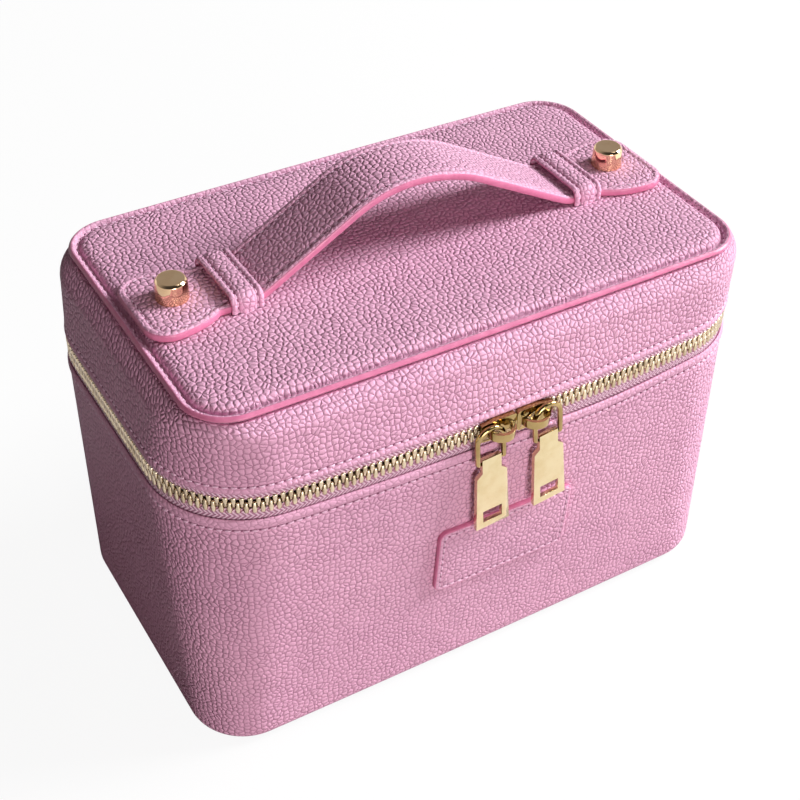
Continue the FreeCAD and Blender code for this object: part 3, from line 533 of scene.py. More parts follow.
# the cloth's face and back, so far in from the face of the leather, and its ends on the wall
cloth_face, cloth_back = 3.5, 2.95
cloth_top, cloth_foot = 106.4, 4.8
wall_z = np.linspace(cloth_top, foot_z, 14)
lining_rings = np.concatenate([
    wall([106.5, 106.85, 107.0, 107.0, 106.85], [1.72, 1.8, 2.1, 3.0, 3.35]),
    wall(wall_z, cloth_face),
    at_height(plan(inset(FOOT, [cloth_face, cloth_back])), [cloth_foot, cloth_foot]),
    wall(wall_z[::-1][:-1], cloth_back),
    wall([106.5], cloth_back),
])
body_lining = swept("body_lining_cloth", lining_rings, lining_cloth)
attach(body_lining, "case")
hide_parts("body_lining")


base_gap = 3.6
base_edge = [(4.4, 4.15), (4.4, 4.15), (3.8, 4.15), (base_gap, 4.3), (base_gap, 4.6), (4.0, 4.75)]
base_lining = sheet_in("base_lining_cloth", FOOT, base_edge, lining_cloth)
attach(base_lining, "case")
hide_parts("base_lining")


# ---------------------------------------------------------------- sewing thread
# Twisted polyester thread.  Each stitch is a short rounded piece of it that dips at both ends, and
# between one stitch and the next a small dimple painted dark, as painted shade, marks the needle's hole.
# waxed polyester: a soft shine, broken by plies 0.3 mm apart
thread, tree, shader = new_material("sewing_thread")
place = add(tree, "TexCoord").outputs["Object"]
ply = add(tree, "TexNoise", {"Vector": place, "Scale": 3500, "Detail": 2}).outputs["Fac"]
twist = add(tree, "MapRange", {0: ply, 1: 0.35, 2: 0.65}, **curve).outputs[0]
twist = add(tree, "Mix", {0: twist, 6: linear("f6d3e8"), 7: linear("e9bbd8")}, **colours).outputs[2]
tree.links.new(twist, shader.inputs["Base Color"])
bump = add(tree, "Bump", {"Height": ply, "Distance": 0.0001, "Strength": 1.0})
tree.links.new(bump.outputs[0], shader.inputs["Normal"])
shader.inputs["Roughness"].default_value = 0.42
shader.inputs["Sheen Weight"].default_value = 0.2


def loft(rings):
    """Points and quads of a small closed form from rings of points, both ends closed."""
    rows, columns = rings.shape[:2]
    faces = grid(rows, columns)
    k = np.arange(columns // 2 - 1)
    cap = np.stack([k, k + 1, columns - 2 - k, columns - 1 - k], axis=-1)
    return rings.reshape(-1, 3), np.concatenate([faces, cap[:, ::-1], cap + (rows - 1) * columns])


def scattered(template, origins, axes):
    """One small form repeated: each copy at an origin, turned to its three axes."""
    points, faces = template
    placed = origins[:, None, :] + np.einsum("pk,nkj->npj", points, axes)
    moved = faces[None] + (np.arange(len(origins)) * len(points))[:, None, None]
    return placed.reshape(-1, 3), moved.reshape(-1, 4)


def paced(path, normals, pitch, closed):
    """Places at equal steps along a line: the middles, directions and normals of the steps."""
    if closed:
        path, normals = np.concatenate([path, path[:1]]), np.concatenate([normals, normals[:1]])
    step = np.linalg.norm(np.diff(path, axis=0), axis=1)
    run = np.concatenate([[0], np.cumsum(step)])
    count = max(int(round(run[-1] / pitch)), 1)
    at = (np.arange(count) + 0.5) * run[-1] / count
    reach = 0.3 * pitch

    def along(values, where):
        where = where % run[-1] if closed else np.clip(where, 0, run[-1])
        return np.stack([np.interp(where, run, values[:, k]) for k in range(3)], axis=-1)

    middle = along(path, at)
    ahead = along(path, at + reach) - along(path, at - reach)
    ahead /= np.linalg.norm(ahead, axis=1)[:, None]
    normal = along(normals, at)
    normal -= np.sum(normal * ahead, axis=1)[:, None] * ahead
    normal /= np.linalg.norm(normal, axis=1)[:, None]
    return middle, ahead, normal


def shaded_leather(name, pale, deep):
    """The cut inside of leather, matt and in shade, a little uneven over a millimetre."""
    # painted shade: a dark colour put where a hole or slit in the leather lies in shade
    material, tree, shader = new_material(name)
    place = add(tree, "TexCoord").outputs["Object"]
    uneven_shade = add(tree, "TexNoise", {"Vector": place, "Scale": 900, "Detail": 2}).outputs["Fac"]
    uneven_shade = add(tree, "Mix", {0: uneven_shade, 6: linear(pale), 7: linear(deep)}, **colours).outputs[2]
    tree.links.new(uneven_shade, shader.inputs["Base Color"])
    shader.inputs["Roughness"].default_value = 0.8
    return material


# painted shade for the needle's holes between the stitches
needle_hole_shade = shaded_leather("needle_hole_shade", "935c7a", "84506c")


def stitched(name, lines, body, pitch=2.8, length=2.1, radius=0.36):
    """Rows of stitches along lines given as (path, normals, closed), with the needle's holes between.

    A stitch is six-sided, thinner at its ends, and dips there with the cube of the distance from
    its middle.  A hole is a small dimple coloured with painted shade, drawn as a flat lens under the ends of
    two stitches.
    """
    share = np.array([-1.0, -0.8, -0.3, 0.3, 0.8, 1.0])
    thick = np.array([0.35, 0.8, 1.0, 1.0, 0.8, 0.35]) * radius
    dip = -0.3 * np.abs(share) ** 3
    angle = np.arange(6) * np.pi / 3
    stitch = np.stack([
        np.broadcast_to(share[:, None] * length / 2, (6, 6)),
        thick[:, None] * np.cos(angle),
        dip[:, None] + thick[:, None] * np.sin(angle),
    ], axis=-1)
    thick = np.array([0.16, 0.24, 0.16])
    hole = np.stack([
        thick[:, None] * 1.6 * np.cos(angle),
        thick[:, None] * 1.3 * np.sin(angle),
        np.broadcast_to(np.array([0.0, -0.08, -0.2])[:, None], (3, 6)),
    ], axis=-1)
    stitch_places, hole_places = [], []
    for path, normals, closed in lines:
        middle, ahead, normal = paced(path, normals, pitch, closed)
        axes = np.stack([ahead, np.cross(normal, ahead), normal], axis=1)
        stitch_places.append((middle, axes))
        hole_places.append((middle[:-1] + np.diff(middle, axis=0) / 2, axes[:-1]))

    def repeated(piece_name, rings, places, material):
        origins, axes = (np.concatenate(part) for part in zip(*places))
        made = make(piece_name, *scattered(loft(rings), origins, axes), material)
        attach(made, body)
        return made

    made = repeated(name, stitch, stitch_places, thread)
    repeated(name + "_hole_shadows", hole, hole_places, needle_hole_shade)
    return made


def outward(ring):
    """Level outward directions of a closed plan outline, square to it at each point."""
    along = np.roll(ring, -1, axis=0) - np.roll(ring, 1, axis=0)
    side = np.stack([along[:, 1], -along[:, 0], 0 * along[:, 0]], axis=-1)
    return side / np.linalg.norm(side, axis=1)[:, None]


def opened(rings, half_gap):
    """Closed rings cut open at the back: they start and end so far from its middle."""
    count = rings.shape[1]
    order = np.roll(np.arange(count), count // 2)
    keep = (np.abs(rings[0, order, 0]) >= half_gap) | (rings[0, order, 1] < 0)
    return rings[:, order][:, keep]


# the seams along the zip stop short of the hinge strip
seam_end = 71
fold_line = opened(relaxed(wall([102.7], 0.2)), seam_end)[0]
body_stitches = stitched("body_edge_stitches", [(fold_line, outward(fold_line), False)], "case")


# ---------------------------------------------------------------- lid side leather
# The same leather round the lid: folded and sewn along the zip, rounded over a soft shoulder,
# and turned out at the top into the standing seam.
RIM = np.array([201.6, 116.2, 15.2, 0.4])
rim_z = 144.6
rim_flat = plan([RIM])[0]
rim_out = outward(np.concatenate([rim_flat, 0 * rim_flat[:, :1]], axis=-1))
# the seam leans out 42 degrees from upright
lean = np.radians(42.0)


def seam(back, above):
    """Rings on the standing seam: so far back from its edge, and so far above its middle plane."""
    back, above = np.asarray(back, float), np.asarray(above, float)
    gap = back * np.sin(lean) + above * np.cos(lean)
    z = rim_z - back * np.cos(lean) + above * np.sin(lean)
    return at_height(rim_flat - np.multiply.outer(gap, rim_out[:, :2]), z)


def shoulder(degrees, gap):
    """Rings over the rounded shoulder, from the upright wall to the foot of the seam.

    The section is a superellipse: it goes in by 1 - cos^0.78 and up by sin^0.78 of the angle.  A
    bell of 13 % at three quarters of the way in makes it swell below the seam.
    """
    angle = np.radians(np.asarray(degrees, float))[:, None, None]
    start = wall([shoulder_z])[0]
    end = seam([2.7], [-0.9])[0]
    boxy = 0.78
    level = 1 - np.cos(angle) ** boxy
    swell = 0.13 * np.exp(-((level - 0.74) / 0.16) ** 2)
    level = np.broadcast_to(level, (len(degrees), 1, 2))
    share = np.concatenate([level, np.sin(angle) ** boxy + swell], axis=-1)
    ring = start + (end - start) * share
    away = at_height(np.cos(angle) * rim_out[None, :, :2], np.sin(angle)[:, 0, 0])
    return ring - gap * away


# the sewn edge, from inside to outside: height, distance in from the face, and press
# a press above 1 is painted shade, darkest at the inner edge and in the stitch groove
edge = np.array([
    (118.2, 1.0, 2.0), (117.85, 0.75, 2.0), (117.8, 0.35, 1.8), (117.95, 0.0, 1.2), (118.3, -0.2, 1.0),
    (118.9, -0.28, 0.9), (119.6, -0.2, 0.9), (120.1, 0.12, 1.0), (120.4, 0.38, 1.8), (120.65, 0.42, 2.0),
    (120.9, 0.28, 1.7), (121.4, 0.04, 0.9), (122.2, 0.0, 0.2), (124.0, 0.0, 0.0), (126.3, 0.0, 0.0),
    (129.5, 0.0, 0.0), (133.0, 0.0, 0.0),
])
# the flange in the seam, from outside to inside: distance back from its edge, and above its middle
lid_flange = np.array([
    (2.3, -0.95), (1.6, -0.95), (0.9, -0.93), (0.4, -0.9), (0.15, -0.8), (0.05, -0.6), (0.05, -0.02),
    (2.7, -0.02),
])
lid_rings = np.concatenate([
    wall(edge[:, 0], edge[:, 1]),
    shoulder(np.linspace(0, 1, 19) * 88.5, 0.0),
    seam(*lid_flange.T),
    shoulder([80, 60, 40, 20, 0], leather_thick),
    wall([130.0, 126.3, 122.0, 119.0], leather_thick),
])
# the grain is full over the shoulder but for its last three rings, and flat from there inwards
# the press of 1.3 on the last ring is painted shade at the foot of the seam
lid_press_and_shade = np.concatenate([edge[:, 2], np.zeros(16), [0.4, 0.9, 1.3], np.ones(len(lid_flange) + 9)])
lid_cover = swept("lid_side_leather", lid_rings, leather, wrapped(lid_rings), lid_press_and_shade)
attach(lid_cover, "lid")
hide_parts("lid_side_cover")

edge_line = opened(wall([120.55], 0.15), seam_end)[0]
lid_stitches = stitched("lid_edge_stitches", [(edge_line, outward(edge_line), False)], "lid")


# ---------------------------------------------------------------- padded lid top
# Leather drawn over foam, crowned at its border, and sewn into the same standing seam.
# The seam's edge is sealed with several coats of bright edge paint.
top_z = 146.0


def crown(profile):
    """Rings over the padded top: so far in from the seam's edge, and so far below the flat."""
    reach, drop = np.array(profile).T
    return at_height(plan(inset(RIM, reach)), top_z - drop)


upper = crown([
    (14.0, 0.0), (11.0, 0.0), (8.4, 0.05), (6.8, 0.14), (5.7, 0.28), (4.9, 0.46), (4.3, 0.68), (3.8, 0.98),
    (3.45, 1.34), (3.2, 1.74), (3.05, 2.2), (3.0, 2.75),
])
under = crown([(3.9, 2.9), (5.0, 1.9), (7.5, 1.2), (14.0, 0.95)])
# the flange in the seam, from outside to inside: distance back from its edge, and above its middle
top_flange = np.array([
    (2.5, 0.6), (2.1, 0.82), (1.6, 0.95), (1.1, 1.03), (0.6, 1.04), (0.2, 0.95), (-0.08, 0.76), (-0.2, 0.5),
    (-0.2, 0.4), (0.0, 0.05), (2.9, 0.05),
])
top_fill, under_fill = 10, 4
top_rings = np.concatenate([
    line_fill(upper[0], top_fill)[::-1],
    upper,
    seam(*top_flange.T),
    under,
    line_fill(under[-1], under_fill),
])
# the grain fades over the last three rings of the crown and the first of the flange
# a press above 1 there is painted shade in the crease between the pad and the seam
fade_and_shade = [0.5, 1.0, 1.3, 1.3]
top_press_and_shade = np.concatenate([
    np.zeros(top_fill + len(upper) - 3),
    fade_and_shade,
    np.ones(len(top_flange) - 1 + len(under) + under_fill),
])


def laid_flat(rows, faces):
    """Texture places of a cut piece's quads: where they lie while the piece is flat."""
    return rows[..., :2].reshape(-1, 2)[faces]


top_faces = grid(*top_rings.shape[:2])
top_cover = make("lid_top_leather", top_rings, top_faces, leather, laid_flat(top_rings, top_faces), weld=True,
                 press_and_shade=top_press_and_shade)
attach(top_cover, "lid")
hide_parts("lid_top_cover", "lid_top_foam")

# acrylic edge paint, brushed on in coats: smooth and glossy, with slow waves 3 mm long
edge_paint, tree, shader = new_material("edge_paint")
place = add(tree, "TexCoord").outputs["Object"]
coat = add(tree, "TexNoise", {"Vector": place, "Scale": 350, "Detail": 3}).outputs["Fac"]
paint = add(tree, "MapRange", {0: coat, 1: 0.3, 2: 0.7}, **curve).outputs[0]
paint = add(tree, "Mix", {0: paint, 6: linear("d97fa4"), 7: linear("cf7399")}, **colours).outputs[2]
tree.links.new(paint, shader.inputs["Base Color"])
bump = add(tree, "Bump", {"Height": coat, "Distance": 0.00025, "Strength": 1.0})
tree.links.new(bump.outputs[0], shader.inputs["Normal"])
shader.inputs["Roughness"].default_value = 0.36

# once round the bead of paint on the seam's edge
bead_section = np.array([
    (0.3, -0.98), (0.0, -0.98), (-0.15, -0.88), (-0.26, -0.68), (-0.31, -0.36), (-0.31, 0.1), (-0.29, 0.36),
    (-0.24, 0.56), (-0.1, 0.66), (0.3, 0.6), (0.5, 0.5), (0.5, -0.7),
])
bead = swept("seam_edge_paint", seam(*bead_section.T), edge_paint)
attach(bead, "lid")

seam_path = seam([1.75], [0.95])[0]
seam_up = seam([1.75], [1.95])[0] - seam_path
seam_stitches = stitched("seam_stitches", [(seam_path, seam_up, True)], "lid", pitch=3.2, length=2.4,
                         radius=0.26)

top_gap = 4.3
top_edge = [(4.9, 140.15), (4.4, 140.15), (top_gap, 140.0), (top_gap, 139.7), (4.5, 139.57), (5.2, 139.55)]
top_lining = sheet_in("lid_top_lining_cloth", RIM, top_edge, lining_cloth)
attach(top_lining, "lid")
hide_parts("lid_top_lining")

side_top = crown([(6.0, 7.05), (6.0, 6.48)])
lid_wall_z = np.linspace(118.45, 134.0, 6)
side_lining = swept("lid_side_lining_cloth", np.concatenate([
    wall([118.7, 118.2, 118.1, 118.1, 118.2], [1.75, 1.8, 2.1, 3.0, 3.4]),
    wall(lid_wall_z, cloth_face),
    side_top,
    wall(lid_wall_z[::-1], cloth_back),
]), lining_cloth)
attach(side_lining, "lid")
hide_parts("lid_side_lining")
# the strip goes up the wall, then in and up to the top board, and 2 mm of it is turned under the
# side board
rise = np.linalg.norm(np.diff(np.concatenate([wall([118.1, 134.0], cloth_face), side_top]), axis=0), axis=2)


# ---------------------------------------------------------------- zip tapes
# Two woven polyester tapes with a corded edge, open at the hinge; the leather is sewn down to them.
# herringbone weave of polyester, with a little sheen: its lines slant to and fro, 1.6 mm each way,
# and are 1.5 mm apart, coarser than real ones, so that they show
tape_cloth, tree, shader = new_material("zip_tape_weave")
uv = add(tree, "SeparateXYZ", {0: add(tree, "TexCoord").outputs["UV"]})
rib, twill = 0.0016, 0.0015
column = add(tree, "Math", {0: uv.outputs[1], 1: rib}, operation="PINGPONG").outputs[0]
slant = add(tree, "Math", {0: uv.outputs[0], 1: column}, operation="ADD").outputs[0]
slant = add(tree, "Math", {0: slant, 1: 2 * np.pi / twill}, operation="MULTIPLY").outputs[0]
slant = add(tree, "Math", {0: slant}, operation="SINE").outputs[0]
over = add(tree, "MapRange", {0: slant, 1: -0.7, 2: 0.7}, **curve).outputs[0]
# painted shade and painted highlight: the yarn is coloured darker in the hollows between the ribs and paler
# on their crests
yarn = add(tree, "Mix", {0: over, 6: linear("b67a98"), 7: linear("f6d2e6")}, **colours).outputs[2]
tree.links.new(yarn, shader.inputs["Base Color"])
bump = add(tree, "Bump", {"Height": over, "Distance": 0.0003, "Strength": 1.0})
tree.links.new(bump.outputs[0], shader.inputs["Normal"])
shader.inputs["Roughness"].default_value = 0.5
shader.inputs["Sheen Weight"].default_value = 0.2


def tape(name, heights, gaps, half_gap, body, node):
    """Woven band round the wall, open at the hinge.

    Heights and insets run up its outer face, which is closed by the same heights down the inner.
    """
    z = np.concatenate([heights, heights[::-1]])
    rings = opened(wall(z, gaps), half_gap)
    rows, columns = rings.shape[:2]
    step = np.linalg.norm(np.diff(rings[0], axis=0), axis=1)
    along = np.concatenate([[0], np.cumsum(step)])
    up = np.concatenate([[0], np.cumsum(np.linalg.norm(np.diff(rings[:, 0], axis=0), axis=1))])
    up = np.append(up, up[-1] + 0.5)
    faces = grid(rows, columns, close_rows=True, close_columns=False)
    uv = quad_corners(np.stack(np.meshgrid(along, up), axis=-1)).reshape(-1, 4, 2)
    k = np.arange(rows // 2 - 1)
    cap = np.stack([k, k + 1, rows - 2 - k, rows - 1 - k], axis=-1) * columns
    faces = np.concatenate([faces, cap, cap[:, ::-1] + columns - 1])
    uv = np.concatenate([uv, np.zeros((2 * len(k), 4, 2))])
    made = make(name, rings, faces, tape_cloth, uv=uv)
    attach(made, body)
    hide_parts(node)


# the cord at the tape's edge makes it thicker there, on both faces
tape_front, tape_back, tape_end = 1.07, 1.55, 66
cord = np.array([0.0, 0.0, 0.0, 0.25, 0.5, 0.6, 0.5, 0.2])
tape_gaps = np.concatenate([tape_front - cord, tape_back + cord[::-1]])
lower_heights = np.array([99.3, 102.0, 104.0, 106.5, 108.6, 109.3, 110.2, 111.2])
upper_heights = np.array([125.9, 123.0, 120.0, 118.3, 117.6, 116.8, 116.0, 115.2])
tape("zip_tape_lower_cloth", lower_heights, tape_gaps, tape_end, "case", "zip_tape_lower")
tape("zip_tape_upper_cloth", upper_heights, tape_gaps, tape_end, "lid", "zip_tape_upper")


# ---------------------------------------------------------------- zip teeth
# Stamped brass teeth with a pale gold plate, clamped on the corded edges of the tapes, half a
# pitch apart from side to side.  The two sliders hold a few of them apart.
def plated(name, bright, dark, roughness):
    """Gold-plated brass or zinc, barrel polished: clear reflections, a little uneven.

    It is duller in patches 6 mm wide where it has been touched, and waves 2 mm long, one
    hundredth of a millimetre high, keep the reflections from being straight.
    """
    material, tree, shader = new_material(name)
    place = add(tree, "TexCoord").outputs["Object"]
    touch = add(tree, "TexNoise", {"Vector": place, "Scale": 180, "Detail": 4}).outputs["Fac"]
    touch = add(tree, "MapRange", {0: touch, 1: 0.35, 2: 0.7}, **curve).outputs[0]
    plate = add(tree, "Mix", {0: touch, 6: linear(bright), 7: linear(dark)}, **colours).outputs[2]
    tree.links.new(plate, shader.inputs["Base Color"])
    dull = add(tree, "MapRange", {0: touch, 1: 0.0, 2: 1.0, 3: roughness, 4: roughness + 0.08}, **curve)
    tree.links.new(dull.outputs[0], shader.inputs["Roughness"])
    wave = add(tree, "TexNoise", {"Vector": place, "Scale": 420, "Detail": 2}).outputs["Fac"]
    bump = add(tree, "Bump", {"Height": wave, "Distance": 0.000012, "Strength": 1.0})
    tree.links.new(bump.outputs[0], shader.inputs["Normal"])
    shader.inputs["Metallic"].default_value = 1.0
    return material


# pale plate on flat stamped parts, duller on the tumbled teeth
pale_gold = plated("pale_gold", "e0d0a6", "d8c496", roughness=0.1)
tooth_gold = plated("tooth_gold", "dccbb0", "bba88c", roughness=0.2)
# the chain lies 1.3 mm inside the zip's outline; where the sliders meet, and its length each way
CHAIN = inset(ZIP, 1.3)
TOOTH_PITCH, MEET_X, CHAIN_END = 2.45, 1.8, 244.36


def on_outline(outline, distance):
    """Points and outward directions at distances along an outline from the middle of its front."""
    ring = plan([outline], (60, 120, 200))[0]
    ring = ring[: len(ring) // 2 + 1]
    step = np.linalg.norm(np.diff(ring, axis=0), axis=1)
    run = np.concatenate([[0], np.cumsum(step)])
    reach = np.abs(distance)

    def at(where):
        return np.stack([np.interp(where, run, ring[:, k]) for k in range(2)], axis=-1)

    point = at(reach)
    ahead = at(reach + 0.5) - at(np.maximum(reach - 0.5, 0))
    side = np.stack([ahead[:, 1], -ahead[:, 0]], axis=-1)
    side /= np.linalg.norm(side, axis=1)[:, None]
    mirror = np.where(distance < 0, -1, 1)[:, None] * [1, 0] + [0, 1]
    return point * mirror, side * mirror


def tooth_row(name, phase, z, in_slider, rise, body, node):
    """A row of teeth that stand on the tape's edge at a height and point up or down.

    The wedges of the two sliders hold the nearest teeth apart, so none are drawn there.  The
    chain sags a little beside the sliders: the row eases from its height in them to its own
    over 20 mm.
    """
    wedges, stop, sag_start, sag_over = 5.95, 3.75, 18.0, 20.0
    count = int(CHAIN_END / TOOTH_PITCH)
    at = (np.arange(-count, count) + phase) * TOOTH_PITCH
    at = at[(np.abs(at - MEET_X) > wedges) & (np.abs(at) < CHAIN_END - stop)]
    point, side = on_outline(CHAIN, at)
    # half width and half thickness up the tooth: clamp, waist and rounded head
    up = np.array([0.0, 0.3, 2.0, 2.5, 3.75, 4.1]) * rise
    wide = np.array([0.6, 0.72, 0.7, 0.5, 0.48, 0.3])
    thick = np.array([1.0, 1.2, 1.2, 1.05, 1.0, 0.72])
    corner = 0.6
    x = np.array([1, corner, -corner, -1, -1, -corner, corner, 1])
    y = np.array([0.78, 1, 1, 0.78, -0.78, -1, -1, -0.78])
    rings = np.stack([wide[:, None] * x, thick[:, None] * y, np.broadcast_to(up[:, None], (6, 8))], axis=-1)
    # the ease is an S-shaped curve: three times the share squared less twice its cube
    ease = np.clip((np.abs(at - MEET_X) - sag_start) / sag_over, 0, 1)
    ease = ease**2 * (3 - 2 * ease)
    origins = np.concatenate([point, (in_slider + (z - in_slider) * ease)[:, None]], axis=-1)
    side = np.concatenate([side, 0 * side[:, :1]], axis=-1)
    along = np.stack([-side[:, 1], side[:, 0], side[:, 2]], axis=-1)
    axes = np.stack([along, side, np.broadcast_to([0.0, 0, 1], side.shape)], axis=1)
    points, faces = scattered(loft(rings), origins, axes)
    made = make(name, points, faces, tooth_gold)
    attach(made, body)
    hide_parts(node)


tooth_row("zip_teeth_lower_metal", 0.25, 110.05, 110.75, 1, "case", "zip_teeth_lower")
tooth_row("zip_teeth_upper_metal", 0.75, 116.35, 116.85, -1, "lid", "zip_teeth_upper")


def rounded(node, name, body, material, width, segments=3):
    """Piece with the exact shape of a CAD node, its faces merged and its outer edges rounded off.

    Edges that stick out and turn by more than about 35 degrees are rounded; inner corners stay.
    """
    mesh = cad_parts[node].data.copy()
    mesh.name = name
    work = bmesh.new()
    work.from_mesh(mesh)
    bmesh.ops.remove_doubles(work, verts=work.verts, dist=2e-6)
    bmesh.ops.dissolve_limit(work, angle_limit=0.03, verts=work.verts, edges=work.edges)
    bmesh.ops.recalc_face_normals(work, faces=work.faces)
    weight = work.edges.layers.float.new("bevel_weight_edge")
    sharp = 0.6
    for line in work.edges:
        if line.is_convex and line.calc_face_angle(0) > sharp:
            line[weight] = 1.0
    work.to_mesh(mesh)
    work.free()
    mesh.materials.clear()
    mesh.materials.append(material)
    mesh.polygons.foreach_set("use_smooth", [True] * len(mesh.polygons))
    made = bpy.data.objects.new(name, mesh)
    scene.collection.objects.link(made)
    bevel = made.modifiers.new("rounding", "BEVEL")
    bevel.width = width / 1000
    bevel.segments = segments
    bevel.limit_method = "WEIGHT"
    bevel.harden_normals = False
    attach(made, body)
    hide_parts(node)


rounded("zip_end_stops", "zip_end_stops_metal", "case", pale_gold, 0.35)


# ---------------------------------------------------------------- sliders and pulls
# Two die-cast sliders stand nose to nose.  Each has an arched crown that holds a bail of bent
# wire, and a flat stamped plate hangs in the ends of the bail.
# deeper gold on polished castings and wire: a painted dark reflection, standing for the dark of the room that
# they mirror
wire_gold_dark_reflection = plated("wire_gold_dark_reflection", "b59c6a", "a08858", roughness=0.05)
rounded("slider_left", "slider_left_metal", "slider_left", wire_gold_dark_reflection, 0.42, segments=4)
rounded("slider_right", "slider_right_metal", "slider_right", wire_gold_dark_reflection, 0.42, segments=4)
rounded("pull_left", "pull_left_metal", "pull_left", pale_gold, 0.22)
rounded("pull_right", "pull_right_metal", "pull_right", pale_gold, 0.22)


def bail(name, side, lean_degrees, node):
    """U of round wire: two legs and a half-round bend, with a pin at the end of each leg.

    It is drawn at the middle of its crown, leaned, mirrored for the left and set on the chain.
    """
    bend_x, bend_z, leg, radius, wire = 10.9, -1.8, 9.8, 4.9, 0.95
    crown_x, pivot_x, pivot_y = 6.75, 6.0, -3.6
    turn = np.linspace(np.pi, 0, 25)
    # the pin and the foot of a leg: how far in, how far up, and the wire's radius
    pin = np.array([2.15, 0.85, 0.25, 0.0])
    rise = bend_z - leg + np.array([0.85, 0.85, 0.95, 1.6])
    thin = np.array([0.5, 0.5, 0.85, wire])
    x = np.concatenate([bend_x - radius + pin, bend_x + radius * np.cos(turn), (bend_x + radius - pin)[::-1]])
    z = np.concatenate([rise, bend_z + radius * np.sin(turn), rise[::-1]])
    size = np.concatenate([thin, np.full(len(turn), wire), thin[::-1]])
    line = np.stack([x, np.full(len(x), pivot_y), z], axis=-1)
    ahead = np.gradient(line, axis=0)
    ahead /= np.linalg.norm(ahead, axis=1)[:, None]
    across = np.cross(ahead, [0, 1, 0])
    angle = np.arange(16) * np.pi / 8
    rings = (line[:, None] + size[:, None, None] * (np.cos(angle)[None, :, None] * across[:, None]
             + np.sin(angle)[None, :, None] * np.array([0, 1, 0])))
    tilt = np.radians(-side * lean_degrees)
    pivot = np.array([pivot_x, pivot_y, 0])
    x, y, z = np.moveaxis(rings - pivot, -1, 0)
    leaned = np.stack([
        x * np.cos(tilt) + z * np.sin(tilt),
        y,
        z * np.cos(tilt) - x * np.sin(tilt),
    ], axis=-1) + pivot
    leaned = leaned - [crown_x, 0, 0]
    if side < 0:
        leaned = leaned * [-1, 1, 1]
    point, out = on_outline(CHAIN, np.array([MEET_X + side * crown_x]))
    along = np.array([-out[0, 1], out[0, 0], 0])
    away = np.array([out[0, 0], out[0, 1], 0])
    placed = leaned[..., :1] * along - leaned[..., 1:2] * away + leaned[..., 2:] * [0, 0, 1]
    placed = placed + np.array([point[0, 0], point[0, 1], zip_z])
    points, faces = loft(placed)
    made = make(name, points, faces, wire_gold_dark_reflection)
    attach(made, node)
    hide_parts(node)


bail("bail_right_wire", 1, 6.0, "bail_right")
bail("bail_left_wire", -1, 4.5, "bail_left")


# ---------------------------------------------------------------- handle strap
# Two layers of the same leather, sewn together over the case and edge-painted all round.
# The strap rises between two keepers, and swells to a rounded tab under each stud.
# height of its face where it lies flat, place of its apex, and radius where it meets the lid
STRAP_TOP, APEX_X, APEX_Z, FOOT_RADIUS = 148.9, -4.0, 175.2, 15.0


def strap_side(side):
    """Slope, apex radius, and lengths of the apex arc, flank and foot arc of one half of the arch."""
    lift = 64.0 + side * 3.0
    rise = APEX_Z - STRAP_TOP
    slope = np.arctan(1.36 * rise / lift)
    radii = (lift * np.tan(slope) - rise) * np.cos(slope) / (1 - np.cos(slope))
    apex = radii - FOOT_RADIUS
    straight = (lift - radii * np.sin(slope)) / np.cos(slope)
    return slope, apex, apex * slope, straight, FOOT_RADIUS * slope


# length along each half from the apex to the place where it lies flat
LIFT = {side: sum(strap_side(side)[2:]) for side in (-1, 1)}


def on_strap(places):
    """Points on the arched strap from (run along its top face from the apex, y, height above it).

    Each half is an arc over the apex, a straight flank, a foot arc the other way, and the flat.
    """
    run, y, height = np.moveaxis(np.asarray(places, float), -1, 0)
    result = np.zeros(run.shape + (3,))
    for side in (-1, 1):
        slope, apex, over, straight, foot = strap_side(side)
        far = np.abs(run)
        angle = np.clip(far / apex, 0, slope)
        x = apex * np.sin(angle)
        z = APEX_Z - apex * (1 - np.cos(angle))
        flank = np.clip(far - over, 0, straight)
        x = x + flank * np.cos(slope)
        z = z - flank * np.sin(slope)
        left = slope - np.clip(far - over - straight, 0, foot) / FOOT_RADIUS
        x = x + FOOT_RADIUS * (np.sin(slope) - np.sin(left))
        z = z - FOOT_RADIUS * (np.cos(left) - np.cos(slope))
        x = x + np.clip(far - over - straight - foot, 0, None)
        bearing = np.where(far > over + straight, left, angle)
        x = APEX_X + side * (x + height * np.sin(bearing))
        placed = np.stack([x, y, z + height * np.cos(bearing)], axis=-1)
        here = run < 0 if side < 0 else run >= 0
        result[here] = placed[here]
    return result


